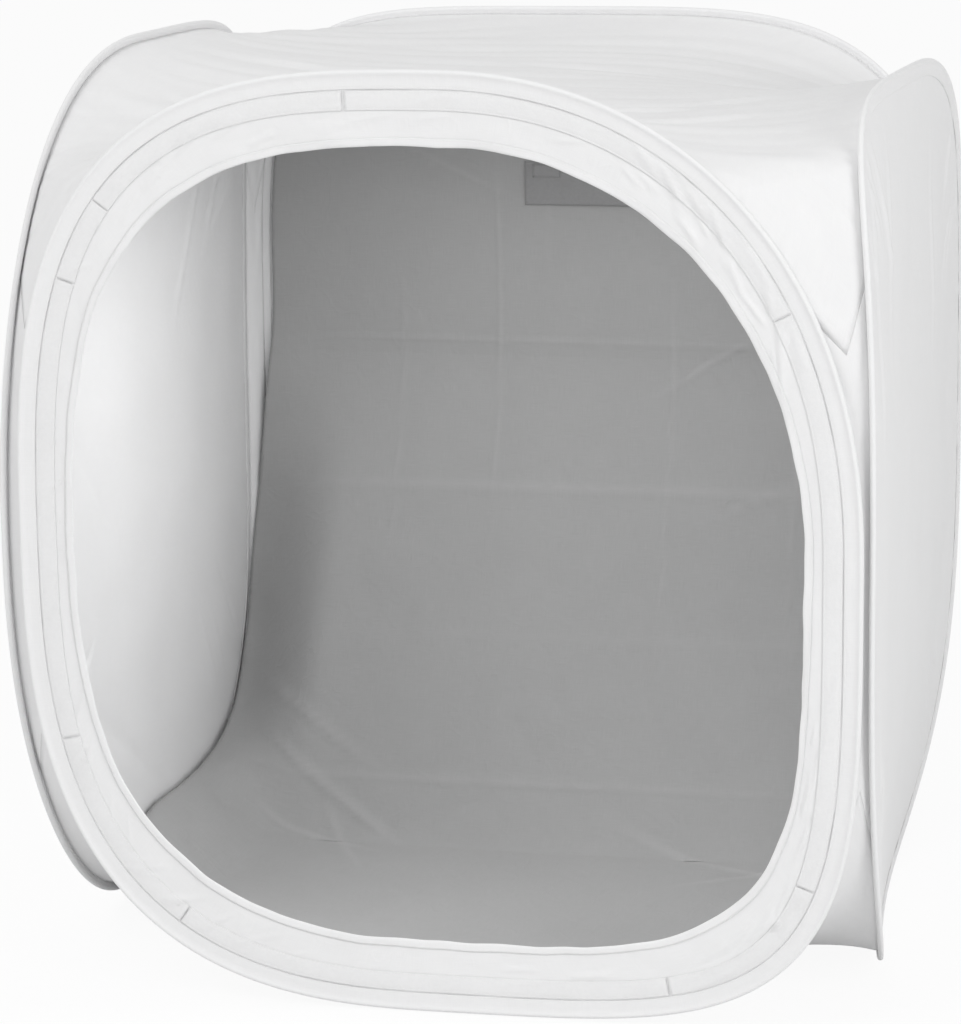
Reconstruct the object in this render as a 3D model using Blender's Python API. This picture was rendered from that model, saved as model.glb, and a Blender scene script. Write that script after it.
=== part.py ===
"""A light tent cube: four sprung cloth panels, a cloth top and floor, and a hung backdrop.

Metres, +Z up. The open side faces -Y and the tent stands on Z = 0, centred on the Z axis.

Each side is one spring-steel wire loop in an edge sleeve. The front one carries an open
band in place of a panel. Neighbouring sides meet along a vertical seam, on which the tent
folds flat like a parallelogram. The top and the floor have no wire: they are stretched
between the upper and the lower arcs of the four loops.

A loop is modelled in its own frame: x across, w up from its centre, and o outward from its
plane. A quarter turn about Z brings that frame to each side.
"""

from dataclasses import dataclass
from math import cos, pi, sin

import bmesh
import bpy
from mathutils import Matrix, Vector
from mathutils.bvhtree import BVHTree

# Sprung loops, measured over the outside of their sleeves.
LOOP_WIDTH = 0.900
LOOP_HEIGHT = 1.000
RIGHT_LOOP_HEIGHT = 0.972
LOOP_SEGMENTS = 48
CORNER_CROWDING_SHARE = 0.35

# Spring wire and the crimped ferrule that closes it.
WIRE_DIAMETER = 0.0028
WIRE_SIDES = 6
FERRULE_WALL = 0.0004
FERRULE_FIT = 0.00015
FERRULE_LENGTH = 0.040
FERRULE_SIDES = 12

# Cloth and the folded edge sleeve round each wire.
CLOTH = 0.0007
CLOTH_GAP = 0.00025
SLEEVE_WIDTH = 0.020
SLEEVE_POCKET_PLAY = 0.00025
POCKET_NEAR_SHARES = (-1.22, 0.67)
POCKET_FAR_SHARES = (0.17, 1.11)
POCKET_ROOT_SHARE = 1.80
PANEL_TUCK = 0.010
PANEL_RING_SHARES = (1.0, 0.8, 0.55, 0.28)
SEAM_GAP = 0.0003

# Stretched cloth between the loops.
TOP_SAG = 0.00012
FLOOR_SAG = 0.0012
SEAM_END_STEPS = 3
SEAM_INSET = 0.010
SEAM_CLEARANCE = 0.0006
RELAX_ROUNDS = 260
WEB_END_SHARE = 0.985

# Opening in the front panel: the band's width, its bound hem and the cover's fastening tape.
BAND_SIDE_WIDTH = 0.061
BAND_END_WIDTH = 0.078
OPENING_SQUARENESS_SHARE = 0.97
HEM_WIDTH = 0.009
HEM_TUCK = 0.006
TAPE_WIDTH = 0.020
TAPE_THICKNESS = 0.0010
TAPE_MARGIN = 0.0015
TAPE_GAP = 0.0004
TAPE_JOINT_GAP = 0.002
TAPE_JOINT_STEPS = (4, 13, 18, 20, 27, 32, 39, 43)

# Backdrop cloth with its fastening strips, placed from the loops' tops, sides and fronts.
BACKDROP_SIDE_GAP = 0.025
BACKDROP_TOP_DROP = 0.140
BACKDROP_SWEEP_DROP = 0.300
BACKDROP_SWEEP_DEPTH = 0.340
BACKDROP_SWEEP_POWER_SHARE = 1.3
BACKDROP_FRONT_GAP = 0.040
BACKDROP_FLOOR_GAP = 0.0004
BACKDROP_EDGE_GAP = 0.0040
BACKDROP_COLUMNS = 12
STRIP_END_GAP = 0.095
STRIP_HEIGHT = 0.025
STRIP_THICKNESS = 0.0010
PATCH_WIDTH = 0.150
PATCH_HEIGHT = 0.055
PATCH_CENTRE = -0.015
PATCH_DROP = 0.109
TAB_WIDTH = 0.035
TAB_HEIGHT = 0.016
TAB_CENTRE = -0.062
TAB_DROP = 0.074

HALF_WIDTH = LOOP_WIDTH / 2
WIRE_RADIUS = WIRE_DIAMETER / 2
POCKET_RADIUS = WIRE_RADIUS + FERRULE_FIT + FERRULE_WALL + SLEEVE_POCKET_PLAY
TAIL_HALF_GAP = CLOTH / 2 + CLOTH_GAP
TAIL_FACE = TAIL_HALF_GAP + CLOTH
SLEEVE_HALF_THICKNESS = POCKET_FAR_SHARES[1] * POCKET_RADIUS + CLOTH
WIRE_INSET = CLOTH - POCKET_NEAR_SHARES[0] * POCKET_RADIUS
TAPE_INSET = SLEEVE_WIDTH + TAPE_MARGIN
LOOP_PLANE = HALF_WIDTH + SEAM_GAP + SLEEVE_HALF_THICKNESS
SEAM_FACE = -(TAIL_FACE + SEAM_CLEARANCE)
BACKDROP_HALF_WIDTH = HALF_WIDTH - BACKDROP_SIDE_GAP
BACKDROP_TOP = LOOP_HEIGHT - BACKDROP_TOP_DROP
BACKDROP_SWEEP_HEIGHT = BACKDROP_TOP - BACKDROP_SWEEP_DROP
BACKDROP_FRONT = HALF_WIDTH - BACKDROP_FRONT_GAP
STRIP_HALF_LENGTH = BACKDROP_HALF_WIDTH - STRIP_END_GAP


@dataclass(frozen=True)
class Loop:
    """One sprung side.

    Attributes:
        name: Side of the tent.
        quarter: Quarter turns about Z from the front side.
        height: Height over the outside of the sleeve.
        squareness: Superellipse exponents of the corners, seen from outside: upper right,
            upper left, lower left, lower right. A higher one makes a squarer corner.
        right_bow: How far the right edge's middle stands out of the loop's plane.
        left_bow: The same for the left edge.
        top_bow: The same for the top arc, negative where the top cloth draws it in.
        bottom_bow: The same for the bottom arc.
        twist: How far the corners leave the plane, in turn out and in.
    """

    name: str
    quarter: int
    height: float
    squareness: tuple[float, float, float, float]
    right_bow: float
    left_bow: float
    top_bow: float
    bottom_bow: float
    twist: float

    @property
    def half_height(self) -> float:
        """Return half the loop's height, which is also its centre's height."""
        return self.height / 2

    def rise(self, x: float, w: float) -> float:
        """Return how far the cloth stands out of the loop's plane at a point."""
        u = x / HALF_WIDTH
        v = w / self.half_height
        edge = self.right_bow if u > 0 else self.left_bow
        arc = self.top_bow if v > 0 else self.bottom_bow
        return edge * u * u * (1 - v * v) + arc * v * v * (1 - u * u) + 2 * self.twist * u * v**3

    def place(self, x: float, w: float, o: float) -> Vector:
        """Return the world position of a point o outward of the cloth's surface."""
        local = Vector((x, -(LOOP_PLANE + self.rise(x, w) + o), w + self.half_height))
        return Matrix.Rotation(self.quarter * pi / 2, 3, "Z") @ local


FRONT = Loop(
    name="front",
    quarter=0,
    height=LOOP_HEIGHT,
    squareness=(2.2, 3.0, 2.7, 4.1),
    right_bow=0.005,
    left_bow=0.005,
    top_bow=0.001,
    bottom_bow=0.004,
    twist=0.004,
)
RIGHT = Loop(
    name="right",
    quarter=1,
    height=RIGHT_LOOP_HEIGHT,
    squareness=(2.6, 6.0, 3.6, 3.2),
    right_bow=0.006,
    left_bow=0.004,
    top_bow=-0.008,
    bottom_bow=-0.032,
    twist=0.014,
)
BACK = Loop(
    name="back",
    quarter=2,
    height=LOOP_HEIGHT,
    squareness=(5.1, 3.6, 3.3, 3.3),
    right_bow=0.006,
    left_bow=0.006,
    top_bow=0.0,
    bottom_bow=0.0,
    twist=0.0,
)
LEFT = Loop(
    name="left",
    quarter=3,
    height=LOOP_HEIGHT,
    squareness=(2.3, 5.2, 3.3, 2.5),
    right_bow=0.018,
    left_bow=0.008,
    top_bow=-0.007,
    bottom_bow=0.010,
    twist=0.009,
)
LOOPS = (FRONT, RIGHT, BACK, LEFT)


def step_angle(step: float) -> float:
    """Return the angle of a step round a loop, from its right edge upward.

    Steps crowd together at the corners, where the outline bends.
    """
    even = 2 * pi * step / LOOP_SEGMENTS
    return even + CORNER_CROWDING_SHARE / 4 * sin(4 * even)


def outline_point(loop: Loop, step: float, half_width: float, half_height: float, share: float) -> Vector:
    """Return an outline point in the loop's plane, with corner exponents scaled by share."""
    angle = step_angle(step)
    c = cos(angle)
    s = sin(angle)
    corner = (0 if c >= 0 else 1) if s >= 0 else (2 if c < 0 else 3)
    power = loop.squareness[corner] * share
    radius = (abs(c / half_width) ** power + abs(s / half_height) ** power) ** (-1 / power)
    return Vector((radius * c, radius * s))


def edge_point(loop: Loop, step: float, inset: float) -> Vector:
    """Return the point inset square to the loop's outline at a step."""
    here = outline_point(loop, step, HALF_WIDTH, loop.half_height, 1)
    before = outline_point(loop, step - 0.5, HALF_WIDTH, loop.half_height, 1)
    after = outline_point(loop, step + 0.5, HALF_WIDTH, loop.half_height, 1)
    along = (after - before).normalized()
    return here + Vector((-along.y, along.x)) * inset


def opening_point(loop: Loop, step: float, outward: float) -> Vector:
    """Return a point of the front opening's edge, moved outward by a distance."""
    side = HALF_WIDTH - BAND_SIDE_WIDTH + outward
    end = loop.half_height - BAND_END_WIDTH + outward
    return outline_point(loop, step, side, end, OPENING_SQUARENESS_SHARE)


def material(name: str, colour: tuple[float, float, float], roughness: float, metallic: float):
    """Return a Principled BSDF material, made once."""
    made = bpy.data.materials.get(name)
    if made is None:
        made = bpy.data.materials.new(name)
        made.use_nodes = True
        shader = made.node_tree.nodes["Principled BSDF"]
        shader.inputs["Base Color"].default_value = (*colour, 1.0)
        shader.inputs["Roughness"].default_value = roughness
        shader.inputs["Metallic"].default_value = metallic
    return made


def white_cloth():
    """Return the diffusing cloth's material."""
    return material("white_cloth", (0.86, 0.86, 0.87), 0.85, 0.0)


def white_tape():
    """Return the fastening tape's material."""
    return material("white_tape", (0.82, 0.82, 0.83), 0.95, 0.0)


def grey_cloth():
    """Return the backdrop's material."""
    return material("grey_cloth", (0.27, 0.27, 0.275), 0.95, 0.0)


def grey_tape():
    """Return the material of the backdrop's strips."""
    return material("grey_tape", (0.20, 0.20, 0.205), 0.95, 0.0)


def spring_steel():
    """Return the wire's material."""
    return material("spring_steel", (0.55, 0.55, 0.56), 0.35, 1.0)


def finish(name: str, mesh: bmesh.types.BMesh, look) -> bpy.types.Object:
    """Make an object from a bmesh, with its faces turned outward."""
    data = bpy.data.meshes.new(name)
    mesh.to_mesh(data)
    mesh.free()
    data.materials.append(look)
    made = bpy.data.objects.new(name, data)
    bpy.context.scene.collection.objects.link(made)
    return made


def sweep(name: str, sections: list[list[Vector]], look, closed: bool) -> bpy.types.Object:
    """Skin a row of like sections into one solid, closed on itself or capped."""
    mesh = bmesh.new()
    rings = [[mesh.verts.new(point) for point in section] for section in sections]
    pairs = list(zip(rings, rings[1:]))
    if closed:
        pairs.append((rings[-1], rings[0]))
    for first, second in pairs:
        count = len(first)
        for i in range(count):
            j = (i + 1) % count
            mesh.faces.new((first[i], first[j], second[j], second[i]))
    if not closed:
        mesh.faces.new(rings[0])
        mesh.faces.new(rings[-1])
    bmesh.ops.recalc_face_normals(mesh, faces=mesh.faces)
    return finish(name, mesh, look)


def sheet(name: str, rows: list[list[Vector]], look, thickness: float, side: float) -> bpy.types.Object:
    """Make a cloth sheet from a grid of points.

    Args:
        name: Object name.
        rows: Grid of surface points.
        look: Material.
        thickness: Cloth thickness.
        side: Where the thickness goes: 1 above the grid's faces, -1 below, 0 both ways.
    """
    mesh = bmesh.new()
    grid = [[mesh.verts.new(point) for point in row] for row in rows]
    for low, high in zip(grid, grid[1:]):
        for i in range(len(low) - 1):
            mesh.faces.new((low[i], low[i + 1], high[i + 1], high[i]))
    made = finish(name, mesh, look)
    thicken(made, thickness, side)
    return made


def thicken(made: bpy.types.Object, thickness: float, side: float) -> None:
    """Give a surface its thickness."""
    solid = made.modifiers.new("thickness", "SOLIDIFY")
    solid.thickness = thickness
    solid.offset = side


def sleeve_section() -> list[tuple[float, float]]:
    """Return the folded sleeve's section as (inset, o) pairs, open towards the panel."""
    near_x, near_o = (share * POCKET_RADIUS for share in POCKET_NEAR_SHARES)
    far_x, far_o = (share * POCKET_RADIUS for share in POCKET_FAR_SHARES)
    root = WIRE_INSET + POCKET_ROOT_SHARE * POCKET_RADIUS
    outer = [
        (SLEEVE_WIDTH, TAIL_FACE),
        (root + CLOTH, TAIL_FACE),
        (WIRE_INSET + far_x, far_o + CLOTH),
        (WIRE_INSET + near_x - CLOTH, near_o + CLOTH * POCKET_NEAR_SHARES[1]),
    ]
    inner = [
        (WIRE_INSET + near_x, near_o),
        (WIRE_INSET + far_x, far_o),
        (root, TAIL_HALF_GAP),
        (SLEEVE_WIDTH, TAIL_HALF_GAP),
    ]
    below = [(inset, -o) for inset, o in reversed(outer)]
    above = [(inset, -o) for inset, o in inner]
    return outer + below + list(reversed(above)) + inner


def make_sleeve(loop: Loop) -> None:
    """Make a loop's edge sleeve."""
    section = sleeve_section()
    sections = []
    for step in range(LOOP_SEGMENTS):
        points = [(edge_point(loop, step, inset), o) for inset, o in section]
        sections.append([loop.place(p.x, p.y, o) for p, o in points])
    sweep(f"{loop.name}_edge_sleeve", sections, white_cloth(), closed=True)


def wire_frame(loop: Loop, step: float) -> tuple[Vector, Vector, Vector]:
    """Return the wire's centre, the inward and the outward direction at a step."""
    centre = edge_point(loop, step, WIRE_INSET)
    inward = edge_point(loop, step, WIRE_INSET + WIRE_RADIUS) - centre
    here = loop.place(centre.x, centre.y, 0)
    turn = Matrix.Rotation(loop.quarter * pi / 2, 3, "Z")
    across = turn @ Vector((inward.x, 0, inward.y)).normalized()
    return here, across, turn @ Vector((0, -1, 0))


def ring(centre: Vector, across: Vector, out: Vector, radius: float, sides: int) -> list[Vector]:
    """Return a round section's points."""
    turns = [2 * pi * i / sides for i in range(sides)]
    return [centre + (across * cos(t) + out * sin(t)) * radius for t in turns]


def make_wire(loop: Loop) -> None:
    """Make a loop's spring wire."""
    sections = []
    for step in range(LOOP_SEGMENTS):
        centre, across, out = wire_frame(loop, step)
        sections.append(ring(centre, across, out, WIRE_RADIUS, WIRE_SIDES))
    sweep(f"{loop.name}_loop_wire", sections, spring_steel(), closed=True)


def make_ferrule(loop: Loop) -> None:
    """Make the ferrule that joins the wire's ends, midway along a straight stretch."""
    step = LOOP_SEGMENTS * 3 // 4
    start, across, out = wire_frame(loop, step)
    end = wire_frame(loop, step + 1)[0]
    along = (end - start).normalized()
    across = (across - along * across.dot(along)).normalized()
    out = along.cross(across)
    middle = (start + end) / 2
    inner = WIRE_RADIUS + FERRULE_FIT
    outer = inner + FERRULE_WALL
    corners = ((outer, -1), (outer, 1), (inner, 1), (inner, -1))
    sections = []
    for i in range(FERRULE_SIDES):
        turn = 2 * pi * i / FERRULE_SIDES
        spoke = across * cos(turn) + out * sin(turn)
        sections.append([middle + spoke * r + along * end_side * FERRULE_LENGTH / 2 for r, end_side in corners])
    sweep(f"{loop.name}_wire_ferrule", sections, spring_steel(), closed=True)


def make_panel(loop: Loop) -> None:
    """Make the cloth inside a closed loop, tucked into its sleeve."""
    mesh = bmesh.new()
    rows = [[edge_point(loop, step, PANEL_TUCK) for step in range(LOOP_SEGMENTS)]]
    mouth = [edge_point(loop, step, SLEEVE_WIDTH) for step in range(LOOP_SEGMENTS)]
    rows += [[p * share for p in mouth] for share in PANEL_RING_SHARES]
    rings = [[mesh.verts.new(loop.place(p.x, p.y, 0)) for p in row] for row in rows]
    bridge(mesh, rings)
    centre = mesh.verts.new(loop.place(0, 0, 0))
    last = rings[-1]
    for i in range(LOOP_SEGMENTS):
        mesh.faces.new((last[i], last[(i + 1) % LOOP_SEGMENTS], centre))
    thicken(finish(f"{loop.name}_panel", mesh, white_cloth()), CLOTH, 0)


def bridge(mesh: bmesh.types.BMesh, rings: list[list[bmesh.types.BMVert]]) -> None:
    """Face the bands between closed rings of like count."""
    for outer, inner in zip(rings, rings[1:]):
        for i in range(len(outer)):
            j = (i + 1) % len(outer)
            mesh.faces.new((outer[i], outer[j], inner[j], inner[i]))


def seam_points(loop: Loop, steps: range) -> list[Vector]:
    """Return where a stretched cloth's edge meets a loop's sleeve, on its inner face."""
    points = [edge_point(loop, step, SEAM_INSET) for step in steps]
    return [loop.place(p.x, p.y, SEAM_FACE) for p in points]


def stretched_grid(upper: bool, sag: float, lowest: float) -> list[list[Vector]]:
    """Return the cloth stretched between four arcs as a relaxed grid.

    Args:
        upper: True for the upper arcs, False for the lower ones.
        sag: How far each point hangs below the mean of its neighbours.
        lowest: No point lies lower than this.
    """
    half = LOOP_SEGMENTS // 2
    if upper:
        arc = range(SEAM_END_STEPS, half - SEAM_END_STEPS + 1)
    else:
        arc = range(-SEAM_END_STEPS, SEAM_END_STEPS - half - 1, -1)
    front = seam_points(FRONT, arc)
    right = seam_points(RIGHT, arc)
    back = seam_points(BACK, arc)
    left = seam_points(LEFT, arc)
    last = len(front) - 1
    front.reverse()
    right.reverse()
    grid = [[Vector() for _ in range(last + 1)] for _ in range(last + 1)]
    for i in range(last + 1):
        grid[0][i] = front[i]
        grid[last][i] = back[i]
        grid[i][last] = right[i]
        grid[i][0] = left[i]
    grid[0][0] = (front[0] + left[0]) / 2
    grid[0][last] = (front[last] + right[0]) / 2
    grid[last][last] = (right[last] + back[last]) / 2
    grid[last][0] = (back[0] + left[last]) / 2
    for j in range(1, last):
        for i in range(1, last):
            s = i / last
            t = j / last
            edges = grid[0][i] * (1 - t) + grid[last][i] * t + grid[j][0] * (1 - s) + grid[j][last] * s
            near = grid[0][0] * (1 - s) + grid[0][last] * s
            far = grid[last][0] * (1 - s) + grid[last][last] * s
            grid[j][i] = edges - near * (1 - t) - far * t
    for _ in range(RELAX_ROUNDS):
        for j in range(1, last):
            for i in range(1, last):
                mean = (grid[j - 1][i] + grid[j + 1][i] + grid[j][i - 1] + grid[j][i + 1]) / 4
                mean.z = max(mean.z - sag, lowest)
                grid[j][i] = mean
    return grid


def make_top() -> None:
    """Make the top cloth, with an ear down to each seam."""
    sheet("top_panel", stretched_grid(True, TOP_SAG, 0), white_cloth(), CLOTH, 0)


def make_floor() -> bpy.types.Object:
    """Make the floor cloth: flat on the ground, its ears drawn up at the corners."""
    return sheet("floor_panel", stretched_grid(False, FLOOR_SAG, 0), white_cloth(), CLOTH, 1)


def make_corner_web(first: Loop, second: Loop) -> None:
    """Make the cloth that joins two sleeves along their seam.

    Args:
        first: The side whose right edge is at the seam.
        second: The side whose left edge is at the seam.
    """
    half = LOOP_SEGMENTS // 2
    rows = []
    for middle in range(-SEAM_END_STEPS, SEAM_END_STEPS + 1):
        side = middle * (SEAM_END_STEPS + 1) / SEAM_END_STEPS
        low = web_points(first, second, middle * WEB_END_SHARE, half)
        high = web_points(first, second, side * WEB_END_SHARE, half)
        rows.append([high[0], (low[0] + low[1]) / 2, high[1]])
    sheet(f"{first.name}_{second.name}_corner_web", rows, white_cloth(), CLOTH, 0)


def web_points(first: Loop, second: Loop, step: float, half: int) -> tuple[Vector, Vector]:
    """Return the points of two facing sleeves at the same step from the seam's middle."""
    a = edge_point(first, step, SEAM_INSET)
    b = edge_point(second, half - step, SEAM_INSET)
    return first.place(a.x, a.y, SEAM_FACE), second.place(b.x, b.y, SEAM_FACE)


def make_front_band() -> None:
    """Make the ring of cloth round the opening, with a row of points along each piece on it."""
    mesh = bmesh.new()
    rings = []
    for inset in (PANEL_TUCK, TAPE_INSET, TAPE_INSET + TAPE_WIDTH):
        row = [edge_point(FRONT, step, inset) for step in range(LOOP_SEGMENTS)]
        rings.append([mesh.verts.new(FRONT.place(p.x, p.y, 0)) for p in row])
    for outward in (HEM_WIDTH, HEM_WIDTH - HEM_TUCK):
        row = [opening_point(FRONT, step, outward) for step in range(LOOP_SEGMENTS)]
        rings.append([mesh.verts.new(FRONT.place(p.x, p.y, 0)) for p in row])
    bridge(mesh, rings)
    thicken(finish("front_band", mesh, white_cloth()), CLOTH, 0)


def make_opening_hem() -> None:
    """Make the folded binding over the band's inner edge."""
    floor_of_fold = HEM_WIDTH - HEM_TUCK - CLOTH_GAP
    section = [
        (HEM_WIDTH, TAIL_FACE),
        (0.0, TAIL_FACE),
        (0.0, -TAIL_FACE),
        (HEM_WIDTH, -TAIL_FACE),
        (HEM_WIDTH, -TAIL_HALF_GAP),
        (floor_of_fold, -TAIL_HALF_GAP),
        (floor_of_fold, TAIL_HALF_GAP),
        (HEM_WIDTH, TAIL_HALF_GAP),
    ]
    sections = []
    for step in range(LOOP_SEGMENTS):
        points = [(opening_point(FRONT, step, outward), o) for outward, o in section]
        sections.append([FRONT.place(p.x, p.y, o) for p, o in points])
    sweep("opening_hem", sections, white_cloth(), closed=True)


def make_cover_tapes() -> None:
    """Make the lengths of tape on the band that a front cover sticks to."""
    below = CLOTH / 2 + TAPE_GAP
    corners = (
        (TAPE_INSET, below),
        (TAPE_INSET, below + TAPE_THICKNESS),
        (TAPE_INSET + TAPE_WIDTH, below + TAPE_THICKNESS),
        (TAPE_INSET + TAPE_WIDTH, below),
    )
    step_length = 2 * (LOOP_WIDTH + LOOP_HEIGHT) / LOOP_SEGMENTS
    trim = TAPE_JOINT_GAP / 2 / step_length
    joints = list(TAPE_JOINT_STEPS) + [TAPE_JOINT_STEPS[0] + LOOP_SEGMENTS]
    for number, (start, end) in enumerate(zip(joints, joints[1:]), start=1):
        sections = []
        for step in range(start, end + 1):
            points = [(edge_point(FRONT, step, inset), o) for inset, o in corners]
            sections.append([FRONT.place(p.x, p.y, o) for p, o in points])
        sections[0] = between(sections[0], sections[1], trim)
        sections[-1] = between(sections[-1], sections[-2], trim)
        sweep(f"cover_tape_{number}", sections, white_tape(), closed=False)


def between(section: list[Vector], other: list[Vector], share: float) -> list[Vector]:
    """Return the section a share of the way towards another."""
    return [a.lerp(b, share) for a, b in zip(section, other)]


def back_strip(name: str, centre: float, width: float, low: float, high: float, o: float, look) -> None:
    """Make a strip that follows the back panel.

    Args:
        name: Object name.
        centre: World X of its middle.
        width: Length across.
        low: Height of its lower edge above the ground.
        high: Height of its upper edge.
        o: Its mid surface, outward of the back panel's.
        look: Material.
    """
    columns = max(1, round(width / STRIP_HEIGHT / 2))
    rows = []
    for z in (low, high):
        xs = [-centre + width * (i / columns - 1 / 2) for i in range(columns + 1)]
        rows.append([BACK.place(x, z - BACK.half_height, o) for x in xs])
    sheet(name, rows, look, STRIP_THICKNESS, 0)


def make_backdrop(floor: bpy.types.Object) -> None:
    """Make the backdrop and what it hangs from.

    The sheet hangs down the back, sweeps forward in an arc and lies on the floor cloth,
    whose surface it follows at a small gap.
    """
    hook = -(CLOTH / 2 + CLOTH_GAP + STRIP_THICKNESS / 2)
    loop_side = hook - STRIP_THICKNESS - CLOTH_GAP
    hang = loop_side - STRIP_THICKNESS / 2 - CLOTH_GAP
    strip_low = BACKDROP_TOP - STRIP_HEIGHT
    length = 2 * STRIP_HALF_LENGTH
    back_strip("backdrop_hook_strip", 0.0, length, strip_low, BACKDROP_TOP, hook, white_tape())
    back_strip("backdrop_loop_strip", 0.0, length, strip_low, BACKDROP_TOP, loop_side, grey_tape())
    front_of = hang - CLOTH - CLOTH_GAP - STRIP_THICKNESS / 2
    patch_low = BACKDROP_TOP - PATCH_DROP
    patch_high = patch_low + PATCH_HEIGHT
    back_strip("backdrop_patch", PATCH_CENTRE, PATCH_WIDTH, patch_low, patch_high, front_of, grey_tape())
    tab_low = BACKDROP_TOP - TAB_DROP
    tab_face = front_of - STRIP_THICKNESS - CLOTH_GAP
    back_strip("backdrop_tab", TAB_CENTRE, TAB_WIDTH, tab_low, tab_low + TAB_HEIGHT, tab_face, grey_tape())

    bpy.context.view_layer.update()
    ground = BVHTree.FromObject(floor, bpy.context.evaluated_depsgraph_get())
    grid = []
    for path_y, path_z, on_back in backdrop_path(hang):
        points = []
        for x in backdrop_columns(path_y, path_z, on_back):
            y = path_y + (y_at_back(x, path_z, hang) - y_at_back(0, path_z, hang)) * on_back
            rest = highest_near(ground, x, y) + BACKDROP_FLOOR_GAP
            points.append(Vector((x, y, max(path_z, rest))))
        grid.append(points)
    sheet("backdrop_sheet", grid, grey_cloth(), CLOTH, 1)


def backdrop_path(hang: float) -> list[tuple[float, float, float]]:
    """Return the backdrop's path down its middle as (y, z, share of the back's shape)."""
    hanging_rows = 9
    sweep_rows = 7
    floor_rows = 13
    bend_y = y_at_back(0, BACKDROP_SWEEP_HEIGHT, hang)
    path = []
    for i in range(hanging_rows):
        z = BACKDROP_TOP + (BACKDROP_SWEEP_HEIGHT - BACKDROP_TOP) * i / hanging_rows
        path.append((y_at_back(0, z, hang), z, 1.0))
    for i in range(sweep_rows):
        turn = pi / 2 * i / sweep_rows
        forward = 1 - cos(turn) ** (2 / BACKDROP_SWEEP_POWER_SHARE)
        fall = 1 - sin(turn) ** (2 / BACKDROP_SWEEP_POWER_SHARE)
        y = bend_y - BACKDROP_SWEEP_DEPTH * forward
        path.append((y, BACKDROP_SWEEP_HEIGHT * fall, 1 - i / sweep_rows))
    start = bend_y - BACKDROP_SWEEP_DEPTH
    for i in range(floor_rows):
        path.append((start - (start + BACKDROP_FRONT) * i / (floor_rows - 1), 0.0, 0.0))
    return path


def backdrop_columns(y: float, z: float, on_back: float) -> list[float]:
    """Return the world X of each column of the backdrop, between the side panels."""
    right_face = LOOP_PLANE + RIGHT.rise(y, z - RIGHT.half_height)
    left_face = LOOP_PLANE + LEFT.rise(-y, z - LEFT.half_height)
    faces = (right_face, left_face)
    hung = z - BACK.half_height
    corners = (1, 0) if hung > 0 else (2, 3)
    reaches = []
    for face, corner in zip(faces, corners):
        arc = outline_reach(BACK, hung, corner) - SLEEVE_WIDTH - BACKDROP_EDGE_GAP
        arc = arc * on_back + HALF_WIDTH * (1 - on_back)
        reaches.append(min(BACKDROP_HALF_WIDTH, face - TAIL_FACE - BACKDROP_EDGE_GAP, arc))
    right, left = reaches
    return [right - (right + left) * i / BACKDROP_COLUMNS for i in range(BACKDROP_COLUMNS + 1)]


def outline_reach(loop: Loop, w: float, corner: int) -> float:
    """Return how far across a loop's outline lies at a height from its centre."""
    power = loop.squareness[corner]
    return HALF_WIDTH * (1 - (abs(w) / loop.half_height) ** power) ** (1 / power)


def highest_near(ground: BVHTree, x: float, y: float) -> float:
    """Return the greatest height of the floor cloth round a point."""
    reach = BACKDROP_HALF_WIDTH / BACKDROP_COLUMNS
    heights = [0.0]
    for across in (-1, 0, 1):
        for along in (-1, 0, 1):
            above = Vector((x + across * reach, y + along * reach, LOOP_HEIGHT / 3))
            hit = ground.ray_cast(above, Vector((0, 0, -1)))[0]
            if hit:
                heights.append(hit.z)
    return max(heights)


def y_at_back(x: float, z: float, o: float) -> float:
    """Return the world Y of a point o outward of the back panel."""
    return BACK.place(-x, z - BACK.half_height, o).y


def main() -> None:
    """Build the tent in an empty scene."""
    for old in list(bpy.data.objects):
        bpy.data.objects.remove(old, do_unlink=True)
    for loop in LOOPS:
        make_wire(loop)
        make_ferrule(loop)
        make_sleeve(loop)
        if loop is not FRONT:
            make_panel(loop)
    make_front_band()
    make_opening_hem()
    make_cover_tapes()
    make_top()
    floor = make_floor()
    for first, second in zip(LOOPS, LOOPS[1:] + LOOPS[:1]):
        make_corner_web(first, second)
    make_backdrop(floor)


if __name__ == "__main__":
    main()
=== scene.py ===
"""Looks of a pop-up light tent: four sprung white sides, a stretched top and floor, a grey sweep backdrop.

Metres, +Z up. The open ring faces -Y and the tent stands on Z = 0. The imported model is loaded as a
fixed frame. Every cloth piece is made again here, in the place that the frame gives it, with its
folds, seams, stitches and weave.

A loop is one sprung side. It is modelled in its own frame: x across, w up from its centre, and o
outward from its plane. Steps count round a loop from its right edge upward.
"""

from __future__ import annotations

import logging
import math
from collections.abc import Iterator
from contextlib import contextmanager
from dataclasses import dataclass, replace
from enum import Enum

import bmesh
import bpy
import numpy as np
from mathutils import Matrix, Vector
from mathutils.bvhtree import BVHTree

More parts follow.
